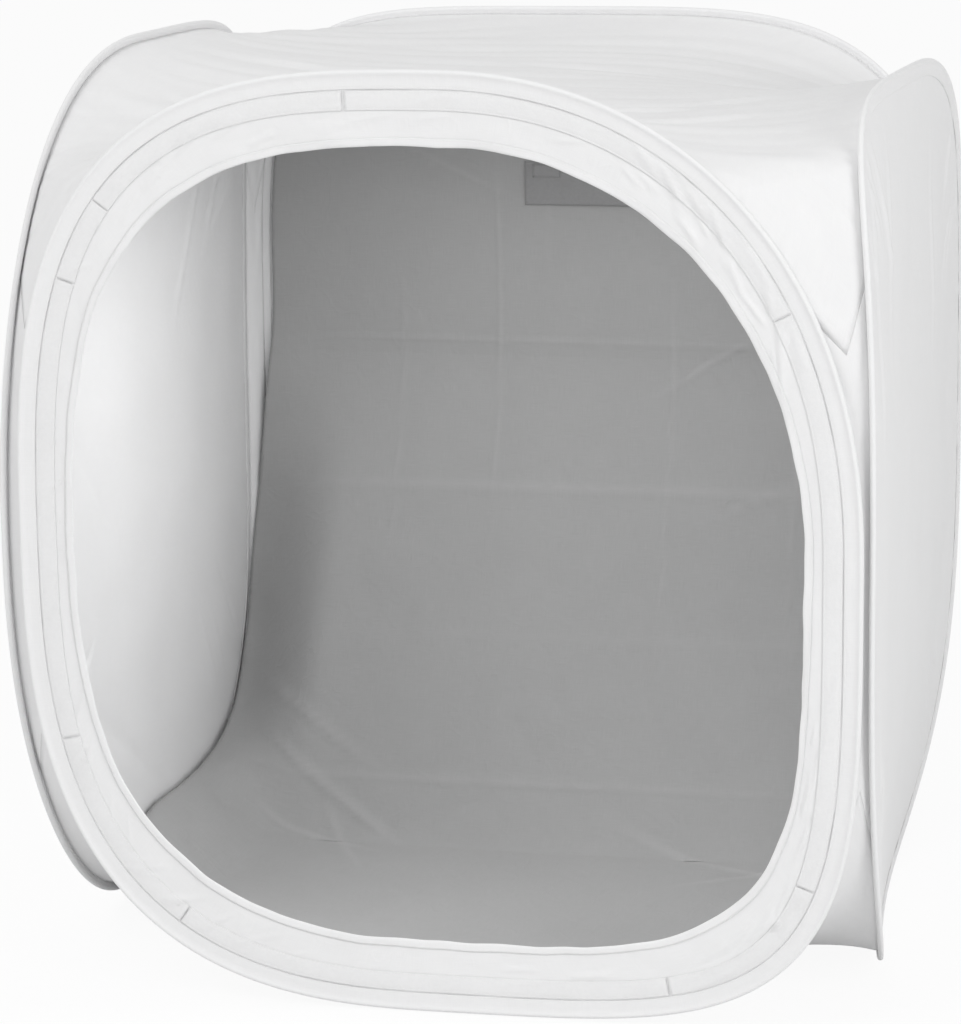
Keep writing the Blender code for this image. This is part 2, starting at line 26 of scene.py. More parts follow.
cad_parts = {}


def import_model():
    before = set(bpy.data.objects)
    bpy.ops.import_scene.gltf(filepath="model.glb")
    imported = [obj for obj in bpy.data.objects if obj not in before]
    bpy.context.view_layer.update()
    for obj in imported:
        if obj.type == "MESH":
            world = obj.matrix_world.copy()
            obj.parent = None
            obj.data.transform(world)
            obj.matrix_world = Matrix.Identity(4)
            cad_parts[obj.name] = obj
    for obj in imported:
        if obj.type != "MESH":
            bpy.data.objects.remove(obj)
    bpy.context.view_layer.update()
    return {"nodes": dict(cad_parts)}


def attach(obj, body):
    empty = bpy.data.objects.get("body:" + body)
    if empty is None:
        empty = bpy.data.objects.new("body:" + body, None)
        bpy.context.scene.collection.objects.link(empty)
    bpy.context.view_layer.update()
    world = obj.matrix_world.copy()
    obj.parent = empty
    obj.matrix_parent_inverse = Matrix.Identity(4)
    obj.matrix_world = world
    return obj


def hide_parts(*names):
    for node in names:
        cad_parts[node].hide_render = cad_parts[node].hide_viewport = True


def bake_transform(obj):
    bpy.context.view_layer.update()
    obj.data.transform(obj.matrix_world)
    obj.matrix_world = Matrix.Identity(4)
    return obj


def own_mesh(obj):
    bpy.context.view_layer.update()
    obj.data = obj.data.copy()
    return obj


LOG = logging.getLogger("light_tent")
Array = np.ndarray
TURN = 2 * math.pi
# Least length that is divided by, and how far off a surface the end of an outward direction lies.
TINY = 1e-12
AWAY = 0.01
# Share of a fold's length over which it fades at each end, and depth of its furrows over its height.
FOLD_FADE = 0.35
FOLD_FURROW = 0.7


class Side(Enum):
    """A sprung side, with its quarter turns about Z from the front."""

    FRONT = 0
    RIGHT = 1
    BACK = 2
    LEFT = 3

    @property
    def body(self) -> str:
        """Return the name of the side's body, which its pieces' names start with too."""
        return self.name.lower()


class Slot(Enum):
    """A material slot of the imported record."""

    WHITE_CLOTH = "white_cloth"
    WHITE_TAPE = "white_tape"
    GREY_CLOTH = "grey_cloth"
    GREY_TAPE = "grey_tape"
    SPRING_STEEL = "spring_steel"


@dataclass(frozen=True)
class TentSizes:
    """Sizes that mating pieces share, in metres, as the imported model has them."""

    loop_width: float = 0.900
    loop_steps: int = 48
    corner_crowding: float = 0.35
    loop_plane: float = 0.453442
    wire_radius: float = 0.0014
    wire_inset: float = 0.003384
    cloth: float = 0.0007
    tail_middle: float = 0.00095
    tail_face: float = 0.0013
    sleeve_width: float = 0.020
    panel_tuck: float = 0.010
    seam_inset: float = 0.010
    seam_face: float = -0.0019
    seam_end_steps: float = 3.0
    folded_keep: float = 0.003

    @property
    def half_width(self) -> float:
        """Return half a loop's width."""
        return self.loop_width / 2

    def steps(self, columns: int) -> Array:
        """Return even steps once round a loop."""
        return self.loop_steps * np.arange(columns) / columns


TENT = TentSizes()


def smooth(share: Array) -> Array:
    """Return a smooth step of a share, held between 0 and 1."""
    held = np.clip(share, 0.0, 1.0)
    return held * held * (3.0 - 2.0 * held)


def unit(vectors: Array) -> Array:
    """Return vectors with their length made 1."""
    return vectors / np.maximum(np.linalg.norm(vectors, axis=-1, keepdims=True), TINY)


def run_of(points: Array) -> Array:
    """Return the way along a line up to each of its points."""
    return np.concatenate([[0.0], np.cumsum(np.linalg.norm(np.diff(points, axis=0), axis=1))])


def between(at: Array, places: Array, points: Array) -> Array:
    """Return points of a line that is known at rising places."""
    return np.stack([np.interp(at, places, points[:, k]) for k in range(3)], axis=-1)


def add_object(name: str, data: bpy.types.ID) -> bpy.types.Object:
    """Return a new object of the scene."""
    made = bpy.data.objects.new(name, data)
    bpy.context.scene.collection.objects.link(made)
    return made


def add_smooth(name: str, mesh: bpy.types.Mesh) -> bpy.types.Object:
    """Return a new object of the scene, its faces smooth."""
    mesh.polygons.foreach_set("use_smooth", np.ones(len(mesh.polygons), bool))
    return add_object(name, mesh)


@contextmanager
def edited(mesh: bpy.types.Mesh) -> Iterator[bmesh.types.BMesh]:
    """Open a mesh for editing, and write it back at the end."""
    shell = bmesh.new()
    shell.from_mesh(mesh)
    shell.verts.ensure_lookup_table()
    yield shell
    shell.to_mesh(mesh)
    shell.free()


class SoftNoise:
    """Smooth random height over a plane, the same each run."""

    def __init__(self, seed: int, cells: int = 64) -> None:
        """Draw the noise's slopes.

        Args:
            seed: Seed of the draw.
            cells: Cells after which the noise repeats both ways.
        """
        turns = np.random.default_rng(seed).uniform(0.0, TURN, (cells, cells))
        self.slopes = np.stack([np.cos(turns), np.sin(turns)], axis=-1)
        self.cells = cells

    def at(self, u: Array, v: Array, period: int = 0) -> Array:
        """Return the height at points, in about -1 to 1.

        Args:
            u: First coordinate, in cells.
            v: Second coordinate, in cells.
            period: Cells after which u closes on itself, or 0.

        Returns:
            The heights.
        """
        u, v = np.broadcast_arrays(np.asarray(u, float), np.asarray(v, float))
        low_u = np.floor(u).astype(int)
        low_v = np.floor(v).astype(int)
        part_u = u - low_u
        part_v = v - low_v
        total = np.zeros(u.shape)
        for step_u in (0, 1):
            for step_v in (0, 1):
                cell_u = low_u + step_u
                if period:
                    cell_u = cell_u % period
                slope = self.slopes[cell_u % self.cells, (low_v + step_v) % self.cells]
                push = slope[..., 0] * (part_u - step_u) + slope[..., 1] * (part_v - step_v)
                weight_u = fade(part_u) if step_u else 1.0 - fade(part_u)
                weight_v = fade(part_v) if step_v else 1.0 - fade(part_v)
                total += push * weight_u * weight_v
        return total * 1.5

    def ring(self, turn: Array, waves: int, v: Array | float, shift: float = 0.0) -> Array:
        """Return the height round a closed line.

        Args:
            turn: Share of the way round.
            waves: Cells in the way round.
            v: Second coordinate, in cells.
            shift: Cells by which the first coordinate is moved.

        Returns:
            The heights.
        """
        return self.at(turn * waves + shift, v, waves)

    def layered(self, x: Array, y: Array, layers: tuple[tuple[float, ...], ...]) -> Array:
        """Return several layers together.

        Args:
            x: First coordinate, in metres.
            y: Second coordinate, in metres.
            layers: Each layer's height, its cells' size both ways and its shift both ways in cells.

        Returns:
            The heights.
        """
        total = np.zeros(np.broadcast(x, y).shape)
        for height, size_x, size_y, shift_x, shift_y in layers:
            total = total + height * self.at(x / size_x + shift_x, y / size_y + shift_y)
        return total


def fade(part: Array) -> Array:
    """Return the weight of a cell's far side, with no kink at its edges."""
    return part**3 * (part * (part * 6.0 - 15.0) + 10.0)


@dataclass(frozen=True)
class Fold:
    """A ridge with a furrow on each side, in a piece's flat coordinates in metres.

    Attributes:
        start: Where it begins.
        end: Where it ends.
        height: Height of the ridge, negative for a furrow.
        width: Half width of the ridge.
    """

    start: tuple[float, float]
    end: tuple[float, float]
    height: float
    width: float

    def at(self, x: Array, y: Array) -> Array:
        """Return the fold's height at points."""
        run = np.array(self.end) - np.array(self.start)
        length = float(np.hypot(*run))
        along = ((x - self.start[0]) * run[0] + (y - self.start[1]) * run[1]) / length**2
        across = ((x - self.start[0]) * run[1] - (y - self.start[1]) * run[0]) / length / self.width
        ends = smooth(along / FOLD_FADE) * smooth((1.0 - along) / FOLD_FADE)
        return self.height * ends * (1.0 - FOLD_FURROW * across**2) * np.exp(-(across**2))


def folded(folds: list[Fold], x: Array, y: Array) -> Array:
    """Return the height of several folds together."""
    total = np.zeros(np.broadcast(x, y).shape)
    for fold in folds:
        total = total + fold.at(x, y)
    return total


@dataclass(frozen=True)
class Loop:
    """The shape of one sprung side.

    Attributes:
        side: Which side it is.
        height: Height over the outside of the sleeve.
        squareness: Superellipse exponents of the corners, seen from outside: upper right,
            upper left, lower left, lower right.
        right_bow: How far the right edge's middle stands out of the loop's plane.
        left_bow: The same for the left edge.
        top_bow: The same for the top arc.
        bottom_bow: The same for the bottom arc.
        twist: How far the corners leave the plane, in turn out and in.
    """

    side: Side
    height: float
    squareness: tuple[float, float, float, float]
    right_bow: float
    left_bow: float
    top_bow: float
    bottom_bow: float
    twist: float

    @property
    def half_height(self) -> float:
        """Return half the loop's height, which is also its centre's height."""
        return self.height / 2

    def angle(self, step: Array) -> Array:
        """Return the angle of steps round the loop."""
        even = TURN * step / TENT.loop_steps
        return even + TENT.corner_crowding / 4 * np.sin(4 * even)

    def outline(self, step: Array, half_width: float, half_height: float, share: float = 1.0) -> Array:
        """Return outline points in the loop's plane.

        Args:
            step: Steps round the loop.
            half_width: Half the outline's width.
            half_height: Half its height.
            share: Scale of the corners' squareness.

        Returns:
            The points as rows of x and w.
        """
        angle = self.angle(np.asarray(step, float))
        c = np.cos(angle)
        s = np.sin(angle)
        corner = np.where(s >= 0, np.where(c >= 0, 0, 1), np.where(c < 0, 2, 3))
        power = np.array(self.squareness)[corner] * share
        radius = (np.abs(c / half_width) ** power + np.abs(s / half_height) ** power) ** (-1 / power)
        return np.stack([radius * c, radius * s], axis=-1)

    def edge(self, step: Array, inset: Array | float) -> Array:
        """Return points inset square to the loop's outline."""
        here = self.outline(step, TENT.half_width, self.half_height)
        before = self.outline(step - 0.5, TENT.half_width, self.half_height)
        after = self.outline(step + 0.5, TENT.half_width, self.half_height)
        along = unit(after - before)
        inward = np.stack([-along[..., 1], along[..., 0]], axis=-1)
        return here + inward * np.asarray(inset)[..., None]

    def place(self, flat: Array, out: Array | float) -> Array:
        """Return world positions of points out of the cloth's surface.

        Args:
            flat: Points as x and w.
            out: Distance outward of the surface.

        Returns:
            The world points.
        """
        x = flat[..., 0]
        w = flat[..., 1]
        u = x / TENT.half_width
        v = w / self.half_height
        edge = np.where(u > 0, self.right_bow, self.left_bow)
        arc = np.where(v > 0, self.top_bow, self.bottom_bow)
        rise = edge * u**2 * (1 - v**2) + arc * v**2 * (1 - u**2) + 2 * self.twist * u * v**3
        depth = -(TENT.loop_plane + rise + out)
        turn = self.side.value * math.pi / 2
        return np.stack(
            [
                x * math.cos(turn) - depth * math.sin(turn),
                x * math.sin(turn) + depth * math.cos(turn),
                w + self.half_height,
            ],
            axis=-1,
        )

    def arc_length(self, step: Array | float) -> Array:
        """Return the length round the sleeve's middle up to steps."""
        fine = np.linspace(-TENT.loop_steps, 2 * TENT.loop_steps, 60 * TENT.loop_steps + 1)
        lengths = run_of(self.edge(fine, TENT.sleeve_width / 2))
        start = np.interp(0.0, fine, lengths)
        return np.interp(step, fine, lengths) - start

    @property
    def around(self) -> float:
        """Return the whole length round the sleeve's middle."""
        return float(self.arc_length(TENT.loop_steps))


# Each side's height, corners' squareness, bows of the right and left edges and of the top and
# bottom arcs, and twist, in the order of Loop's attributes.
LOOPS = {
    Side.FRONT: Loop(Side.FRONT, 1.000, (2.2, 3.0, 2.7, 4.1), 0.005, 0.005, 0.001, 0.004, 0.004),
    Side.RIGHT: Loop(Side.RIGHT, 0.972, (2.6, 6.0, 3.6, 3.2), 0.006, 0.004, -0.008, -0.032, 0.014),
    Side.BACK: Loop(Side.BACK, 1.000, (5.1, 3.6, 3.3, 3.3), 0.006, 0.006, 0.0, 0.0, 0.0),
    Side.LEFT: Loop(Side.LEFT, 1.000, (2.3, 5.2, 3.3, 2.5), 0.018, 0.008, -0.007, 0.010, 0.009),
}


@dataclass
class ClothGrid:
    """A grid of surface points with its flat coordinates.

    Attributes:
        points: Rows by columns of world points.
        flat: Rows by columns of flat coordinates in metres. A closed grid has one column more.
        closed: True if the last column joins the first.
        pole: True if the last row is one point.
    """

    points: Array
    flat: Array
    closed: bool = False
    pole: bool = False

    def normals(self) -> Array:
        """Return the surface's unit normals."""
        if self.closed:
            across = np.roll(self.points, -1, axis=1) - np.roll(self.points, 1, axis=1)
        else:
            across = np.gradient(self.points, axis=1)
        down = np.gradient(self.points, axis=0)
        return unit(np.cross(across, down))

    def raised(self, height: Array) -> ClothGrid:
        """Return the grid moved along its normals."""
        return replace(self, points=self.points + self.normals() * height[..., None])

    def area(self) -> float:
        """Return the surface's area."""
        points = self.points
        if self.closed:
            points = np.concatenate([points, points[:, :1]], axis=1)
        down = points[1:, :-1] - points[:-1, :-1]
        across = points[:-1, 1:] - points[:-1, :-1]
        return float(np.linalg.norm(np.cross(down, across), axis=-1).sum())

    def build(
        self, name: str, thickness: float = 0.0, side: float = 0.0, fold_shade_and_wear: Array | None = None
    ) -> bpy.types.Object:
        """Make the cloth as a smooth solid sheet.

        Args:
            name: Object name.
            thickness: Cloth thickness, or 0 for a bare surface.
            side: Where the thickness goes: 1 along the normals, -1 against them, 0 both ways.
            fold_shade_and_wear: Tone of each point, as the mesh attribute "fold_shade_and_wear": painted
                highlight and shade that follow the folds, with rubbed pile on their ridges.

        Returns:
            The object.
        """
        rows, columns = self.points.shape[:2]
        index = np.arange(rows * columns).reshape(rows, columns)
        if self.closed:
            index = np.concatenate([index, index[:, :1]], axis=1)
        faces = np.stack([index[:-1, :-1], index[:-1, 1:], index[1:, 1:], index[1:, :-1]], axis=-1)
        flat = self.flat
        corners = np.stack([flat[:-1, :-1], flat[:-1, 1:], flat[1:, 1:], flat[1:, :-1]], axis=-2)
        mesh = bpy.data.meshes.new(name)
        mesh.from_pydata(self.points.reshape(-1, 3).tolist(), [], faces.reshape(-1, 4).tolist())
        layer = mesh.uv_layers.new(name="cloth")
        layer.data.foreach_set("uv", corners.reshape(-1).astype(np.float32))
        # Tone that follows the folds, for painted highlight and shade with rubbed pile, kept as a mesh
        # attribute.
        if fold_shade_and_wear is not None:
            mesh.attributes.new("fold_shade_and_wear", "FLOAT", "POINT").data.foreach_set("value", fold_shade_and_wear.reshape(-1))
        if self.pole:
            with edited(mesh) as shell:
                bmesh.ops.remove_doubles(shell, verts=shell.verts[-columns:], dist=1e-5)
        made = add_smooth(name, mesh)
        if thickness > 0:
            solid = made.modifiers.new("thickness", "SOLIDIFY")
            solid.thickness = thickness
            solid.offset = side
        return made


@dataclass(frozen=True)
class StitchRow:
    """A row of thread stitches along a line.

    Attributes:
        pitch: Distance from one stitch to the next.
        length: Length of one stitch.
        radius: Thread radius.
        sides: Sides of the thread's section.
    """

    pitch: float = 0.0034
    length: float = 0.0024
    radius: float = 0.00028
    sides: int = 6

    def build(self, name: str, lines: list[tuple[Array, Array]]) -> bpy.types.Object:
        """Make the stitches of several lines as one object.

        Args:
            name: Object name.
            lines: For each line its points and the surface's outward directions there.

        Returns:
            The object.
        """
        ends = np.array([-0.5, -0.42, -0.2, 0.2, 0.42, 0.5]) * self.length
        thick = np.array([0.30, 0.75, 1.0, 1.0, 0.75, 0.30]) * self.radius
        sink = np.array([-0.9, -0.25, 0.0, 0.0, -0.25, -0.9]) * self.radius
        turns = TURN * np.arange(self.sides) / self.sides
        rings = len(ends)
        block = np.arange(rings * self.sides).reshape(rings, self.sides)
        following = np.roll(block, -1, axis=1)
        faces = np.stack([block[:-1], following[:-1], following[1:], block[1:]], axis=-1).reshape(-1, 4)
        points = []
        for line, up in lines:
            lengths = run_of(line)
            at = np.arange(self.pitch / 2, lengths[-1], self.pitch)
            centre = between(at, lengths, line)
            near = 0.0001
            along = unit(between(at + near, lengths, line) - between(at - near, lengths, line))
            out = between(at, lengths, up)
            out = unit(out - along * (out * along).sum(axis=-1, keepdims=True))
            across = np.cross(along, out)
            spine = centre[:, None] + along[:, None] * ends[:, None] + out[:, None] * sink[:, None]
            spoke = across[:, None] * np.cos(turns)[:, None] + out[:, None] * np.sin(turns)[:, None]
            points.append(spine[:, :, None] + spoke[:, None] * thick[:, None, None])
        stitches = np.concatenate(points)
        count = len(stitches)
        shift = np.arange(count)[:, None, None] * rings * self.sides
        quads = (faces[None] + shift).reshape(-1, 4).tolist()
        caps = []
        for ring in (block[0][::-1], block[-1]):
            caps += (ring[None] + shift[:, 0]).tolist()
        mesh = bpy.data.meshes.new(name)
        mesh.from_pydata(stitches.reshape(-1, 3).tolist(), [], quads + caps)
        return add_smooth(name, mesh)


class NodeTree:
    """Short ways to add and join shader nodes in one tree."""

    def __init__(self, tree: bpy.types.NodeTree) -> None:
        """Keep the tree."""
        self.tree = tree

    def add(self, kind: str, **settings: object) -> bpy.types.Node:
        """Add a node and set its properties.

        Args:
            kind: Node type without the word ShaderNode, or a group's node type in full.
            **settings: Properties of the node.

        Returns:
            The node.
        """
        node = self.tree.nodes.new(kind if kind.startswith("NodeGroup") else "ShaderNode" + kind)
        for key, value in settings.items():
            setattr(node, key, value)
        return node

    def feed(self, socket: bpy.types.NodeSocket, value: object) -> None:
        """Set a socket to a value, or join another socket to it."""
        if isinstance(value, bpy.types.NodeSocket):
            self.tree.links.new(value, socket)
        else:
            socket.default_value = value

    def fill(self, node: bpy.types.Node, **values: object) -> None:
        """Feed a node's inputs, each named with underscores for its spaces."""
        for key, value in values.items():
            self.feed(node.inputs[key.replace("_", " ")], value)

    def math(self, operation: str, *values: object) -> bpy.types.NodeSocket:
        """Return the result of a Math node."""
        node = self.add("Math", operation=operation)
        for socket, value in zip(node.inputs, values):
            self.feed(socket, value)
        return node.outputs[0]

    def noise(
        self, vector: object, scale: object, detail: float = 2.0, warp: float = 0.0, rough: float = 0.5
    ) -> bpy.types.NodeSocket:
        """Return a Noise Texture's value."""
        node = self.add("TexNoise")
        self.fill(node, Vector=vector, Scale=scale, Detail=detail, Distortion=warp, Roughness=rough)
        return node.outputs["Fac"]

    def scaled(self, vector: object, factors: tuple[float, float, float]) -> bpy.types.NodeSocket:
        """Return a vector times three factors."""
        node = self.add("VectorMath", operation="MULTIPLY")
        self.feed(node.inputs[0], vector)
        node.inputs[1].default_value = factors
        return node.outputs[0]

    def span(self, value: object, *limits: float) -> bpy.types.NodeSocket:
        """Return a value moved from one range to another, given as low, high, new low and new high."""
        node = self.add("MapRange")
        for socket, given in zip(node.inputs, (value, *limits)):
            self.feed(socket, given)
        return node.outputs["Result"]

    def tint(self, shader: bpy.types.Node, colour: tuple[float, float, float], level: object) -> None:
        """Colour a shader by a colour times a level."""
        tinted = self.add("VectorMath", operation="SCALE")
        tinted.inputs[0].default_value = colour
        self.feed(tinted.inputs["Scale"], level)
        self.feed(shader.inputs["Base Color"], tinted.outputs[0])

    def bump(self, height: object, strength: float, distance: float) -> bpy.types.Node:
        """Return a Bump node over a height."""
        node = self.add("Bump")
        self.fill(node, Strength=strength, Distance=distance, Height=height)
        return node

    def staged(self, lit: object, shown: object, share: float) -> bpy.types.NodeSocket:
        """Return a shader that lights as one and looks, by a share, like another to the camera."""
        path = self.add("LightPath")
        seen = self.math("MAXIMUM", path.outputs["Is Camera Ray"], path.outputs["Is Glossy Ray"])
        seen = self.math("MAXIMUM", seen, path.outputs["Is Transmission Ray"])
        mix = self.add("MixShader")
        self.feed(mix.inputs[0], self.math("MULTIPLY", seen, share))
        self.feed(mix.inputs[1], lit)
        self.feed(mix.inputs[2], shown)
        return mix.outputs[0]


class Effects:
    """Shader node groups that more than one finish uses, each built once."""

    def __init__(self) -> None:
        """Build the groups."""
        self.weave = self._weave()
        self.crumple = self._crumple()
        self.pile = self._pile()
        self.handling = self._handling()

    @staticmethod
    def _start(
        name: str, values: dict[str, float], outputs: tuple[str, ...]
    ) -> tuple[NodeTree, dict, dict]:
        """Start a group with a vector input.

        Args:
            name: Group name.
            values: Float inputs with their defaults.
            outputs: Float outputs.

        Returns:
            The tree, its input sockets and its output sockets, both by name.
        """
        group = bpy.data.node_groups.new(name, "ShaderNodeTree")
        group.interface.new_socket("Vector", in_out="INPUT", socket_type="NodeSocketVector")
        for key, value in values.items():
            socket = group.interface.new_socket(key, in_out="INPUT", socket_type="NodeSocketFloat")
            socket.default_value = value
        for key in outputs:
            group.interface.new_socket(key, in_out="OUTPUT", socket_type="NodeSocketFloat")
        tree = NodeTree(group)
        source = tree.add("NodeGroupInput")
        sink = tree.add("NodeGroupOutput")
        return tree, {s.name: s for s in source.outputs}, {s.name: s for s in sink.inputs}

    def _weave(self) -> bpy.types.NodeTree:
        """Return a plain weave with uneven threads: a height and a shade."""
        tree, given, out = self._start("plain_weave", {"Pitch": 0.0005}, ("Height", "Shade"))
        parts = tree.add("SeparateXYZ")
        tree.feed(parts.inputs[0], given["Vector"])
        waves = []
        for axis in (0, 1):
            turns = tree.math("DIVIDE", parts.outputs[axis], given["Pitch"])
            waves.append(tree.math("SINE", tree.math("MULTIPLY", turns, TURN)))
        crossing = tree.math("MULTIPLY", waves[0], waves[1])
        warp = tree.noise(tree.scaled(given["Vector"], (2200.0, 45.0, 1.0)), 1.0, 0.0)
        weft = tree.noise(tree.scaled(given["Vector"], (45.0, 2200.0, 1.0)), 1.0, 0.0)
        threads = tree.math("ADD", warp, weft)
        tree.feed(out["Height"], tree.math("MULTIPLY_ADD", crossing, 0.35, threads))
        tree.feed(out["Shade"], tree.math("SUBTRACT", threads, 1.0))
        return tree.tree

    def _crumple(self) -> bpy.types.NodeTree:
        """Return the fine creases of handled cloth as a height."""
        tree, given, out = self._start("fine_crumple", {"Scale": 1.0}, ("Height",))
        low = tree.noise(given["Vector"], tree.math("MULTIPLY", given["Scale"], 38.0), 1.0, 0.6)
        ridge = tree.math("ABSOLUTE", tree.math("SUBTRACT", low, 0.5))
        sharp = tree.math("POWER", tree.math("SUBTRACT", 1.0, tree.math("MULTIPLY", ridge, 2.0)), 3.0)
        tree.feed(out["Height"], sharp)
        return tree.tree

    def _pile(self) -> bpy.types.NodeTree:
        """Return the looped pile of fastening tape: a height and a shade."""
        tree, given, out = self._start("tape_pile", {"Pitch": 0.0011}, ("Height", "Shade"))
        scale = tree.math("DIVIDE", 1.0, given["Pitch"])
        loops = tree.add("TexVoronoi", feature="SMOOTH_F1")
        tree.fill(loops, Vector=given["Vector"], Scale=scale)
        tufts = tree.noise(given["Vector"], 260.0, 3.0, 0.4)
        height = tree.math("SUBTRACT", tufts, tree.math("MULTIPLY", loops.outputs["Distance"], 0.6))
        tree.feed(out["Height"], height)
        tree.feed(out["Shade"], tree.math("SUBTRACT", tufts, 0.5))
        return tree.tree

    def _handling(self) -> bpy.types.NodeTree:
        """Return slow changes of tone as a shade about 0."""
        tree, given, out = self._start("handled_tone", {"Scale": 1.0}, ("Shade",))
        broad = tree.noise(given["Vector"], tree.math("MULTIPLY", given["Scale"], 5.0), 3.0, rough=0.6)
        tree.feed(out["Shade"], tree.math("SUBTRACT", broad, 0.5))
        return tree.tree

    @staticmethod
    def use(tree: NodeTree, group: bpy.types.NodeTree, vector: object, **values: float) -> dict:
        """Place a group in a material.

        Args:
            tree: The material's tree.
            group: The group.
            vector: What feeds its Vector.
            **values: Its float inputs.

        Returns:
            Its output sockets by name.
        """
        node = tree.add("Group", node_tree=group)
        tree.fill(node, Vector=vector, **values)
        return {s.name: s for s in node.outputs}


@dataclass(frozen=True)
class Finish:
    """What every finish has.

    Attributes:
        name: Material name.
        colour: Base colour.
    """

    name: str
    colour: tuple[float, float, float]

    def start(self) -> tuple[bpy.types.Material, NodeTree, bpy.types.Node, bpy.types.NodeSocket]:
        """Return a new material, its tree, its shader and the object's coordinates."""
        made = bpy.data.materials.new(self.name)
        made.use_nodes = True
        tree = NodeTree(made.node_tree)
        place = tree.add("TexCoord").outputs["Object"]
        return made, tree, made.node_tree.nodes["Principled BSDF"], place


@dataclass(frozen=True)
class ClothFinish(Finish):
    """A woven cloth.

    Attributes:
        pitch: Thread pitch.
        weave: Strength of the weave's relief.
        crumple: Strength of the fine creases' relief.
        streak: How far single threads change the tone.
        patchy: How far the tone changes over the cloth.
        roughness: Roughness of the Principled shader.
        sheen: Sheen weight.
        folds_shaded_and_worn: How far the tone follows the folds: painted highlight on their ridges and
            painted shade in their furrows, with rubbed pile on the ridges.
    """

    pitch: float
    weave: float
    crumple: float
    streak: float
    patchy: float
    roughness: float
    sheen: float
    folds_shaded_and_worn: float = 0.0

    def build(self, effects: Effects) -> bpy.types.Material:
        """Return the material."""
        made, tree, shader, place = self.start()
        spot = tree.add("UVMap", uv_map="cloth").outputs[0]
        weave = effects.use(tree, effects.weave, spot, Pitch=self.pitch)
        crumple = effects.use(tree, effects.crumple, place, Scale=1.0)
        tone = effects.use(tree, effects.handling, place, Scale=1.0)
        patches = tree.math("MULTIPLY", tone["Shade"], self.patchy)
        change = tree.math("ADD", tree.math("MULTIPLY", weave["Shade"], self.streak), patches)
        level = tree.math("ADD", change, 1.0)
        # Tone that follows the folds: painted highlight on their ridges, painted shade in the furrows
        # beside them, and rubbed pile on the ridges.
        if self.folds_shaded_and_worn:
            folds_shaded_and_worn = tree.add("Attribute", attribute_name="fold_shade_and_wear").outputs["Fac"]
            level = tree.math("MULTIPLY_ADD", folds_shaded_and_worn, self.folds_shaded_and_worn, level)
        tree.tint(shader, self.colour, level)
        creases = tree.bump(crumple["Height"], self.crumple, 0.002)
        threads = tree.bump(weave["Height"], self.weave, 0.0002)
        tree.fill(threads, Normal=creases.outputs[0])
        tree.fill(
            shader,
            Roughness=tree.math("MULTIPLY_ADD", weave["Shade"], 0.1, self.roughness),
            Normal=threads.outputs[0],
            Sheen_Weight=self.sheen,
            Sheen_Roughness=0.6,
            Specular_IOR_Level=0.25,
        )
        return made


@dataclass(frozen=True)
class TapeFinish(Finish):
    """Hook-and-loop fastening tape.

    Attributes:
        pitch: Pitch of the pile's loops.
        relief: Strength of the pile's relief.
        shade: How far the tufts change the tone.
        roughness: Roughness of the Principled shader.
    """

    pitch: float
    relief: float
    shade: float
    roughness: float

    def build(self, effects: Effects) -> bpy.types.Material:
        """Return the material."""
        made, tree, shader, place = self.start()
        pile = effects.use(tree, effects.pile, place, Pitch=self.pitch)
        tone = effects.use(tree, effects.handling, place, Scale=3.0)
        change = tree.math("MULTIPLY", tree.math("ADD", pile["Shade"], tone["Shade"]), self.shade)
        tree.tint(shader, self.colour, tree.math("ADD", change, 1.0))
        rough = tree.math("MULTIPLY_ADD", pile["Shade"], 0.15, self.roughness)
        bump = tree.bump(pile["Height"], self.relief, 0.0005)
        tree.fill(
            shader, Roughness=rough, Normal=bump.outputs[0], Sheen_Weight=0.15, Specular_IOR_Level=0.2
        )
        return made


@dataclass(frozen=True)
class SteelFinish(Finish):
    """Drawn spring steel with faint draw lines.

    Attributes:
        roughness: Mean roughness.
    """

    roughness: float

    def build(self, effects: Effects) -> bpy.types.Material:
        """Return the material."""
        made, tree, shader, place = self.start()
        lines = tree.noise(place, 420.0, 2.0, 0.2)
        tone = effects.use(tree, effects.handling, place, Scale=6.0)
        tree.tint(shader, self.colour, tree.math("MULTIPLY_ADD", tone["Shade"], 0.3, 1.0))
        rough = tree.span(lines, 0.3, 0.7, self.roughness - 0.08, self.roughness + 0.1)
        tree.fill(shader, Roughness=rough, Metallic=1.0)
        return made


@dataclass(frozen=True)
class ThreadFinish(Finish):
    """Twisted sewing thread."""

    def build(self, effects: Effects) -> bpy.types.Material:
        """Return the material."""
        made, tree, shader, place = self.start()
        twist = tree.noise(place, 1800.0, 1.0)
        tone = effects.use(tree, effects.handling, place, Scale=8.0)
        tree.tint(shader, self.colour, tree.math("MULTIPLY_ADD", tone["Shade"], 0.06, 1.0))
        rough = tree.span(twist, 0.3, 0.7, 0.45, 0.65)
        tree.fill(shader, Roughness=rough, Normal=tree.bump(twist, 0.4, 0.0001).outputs[0])
        return made


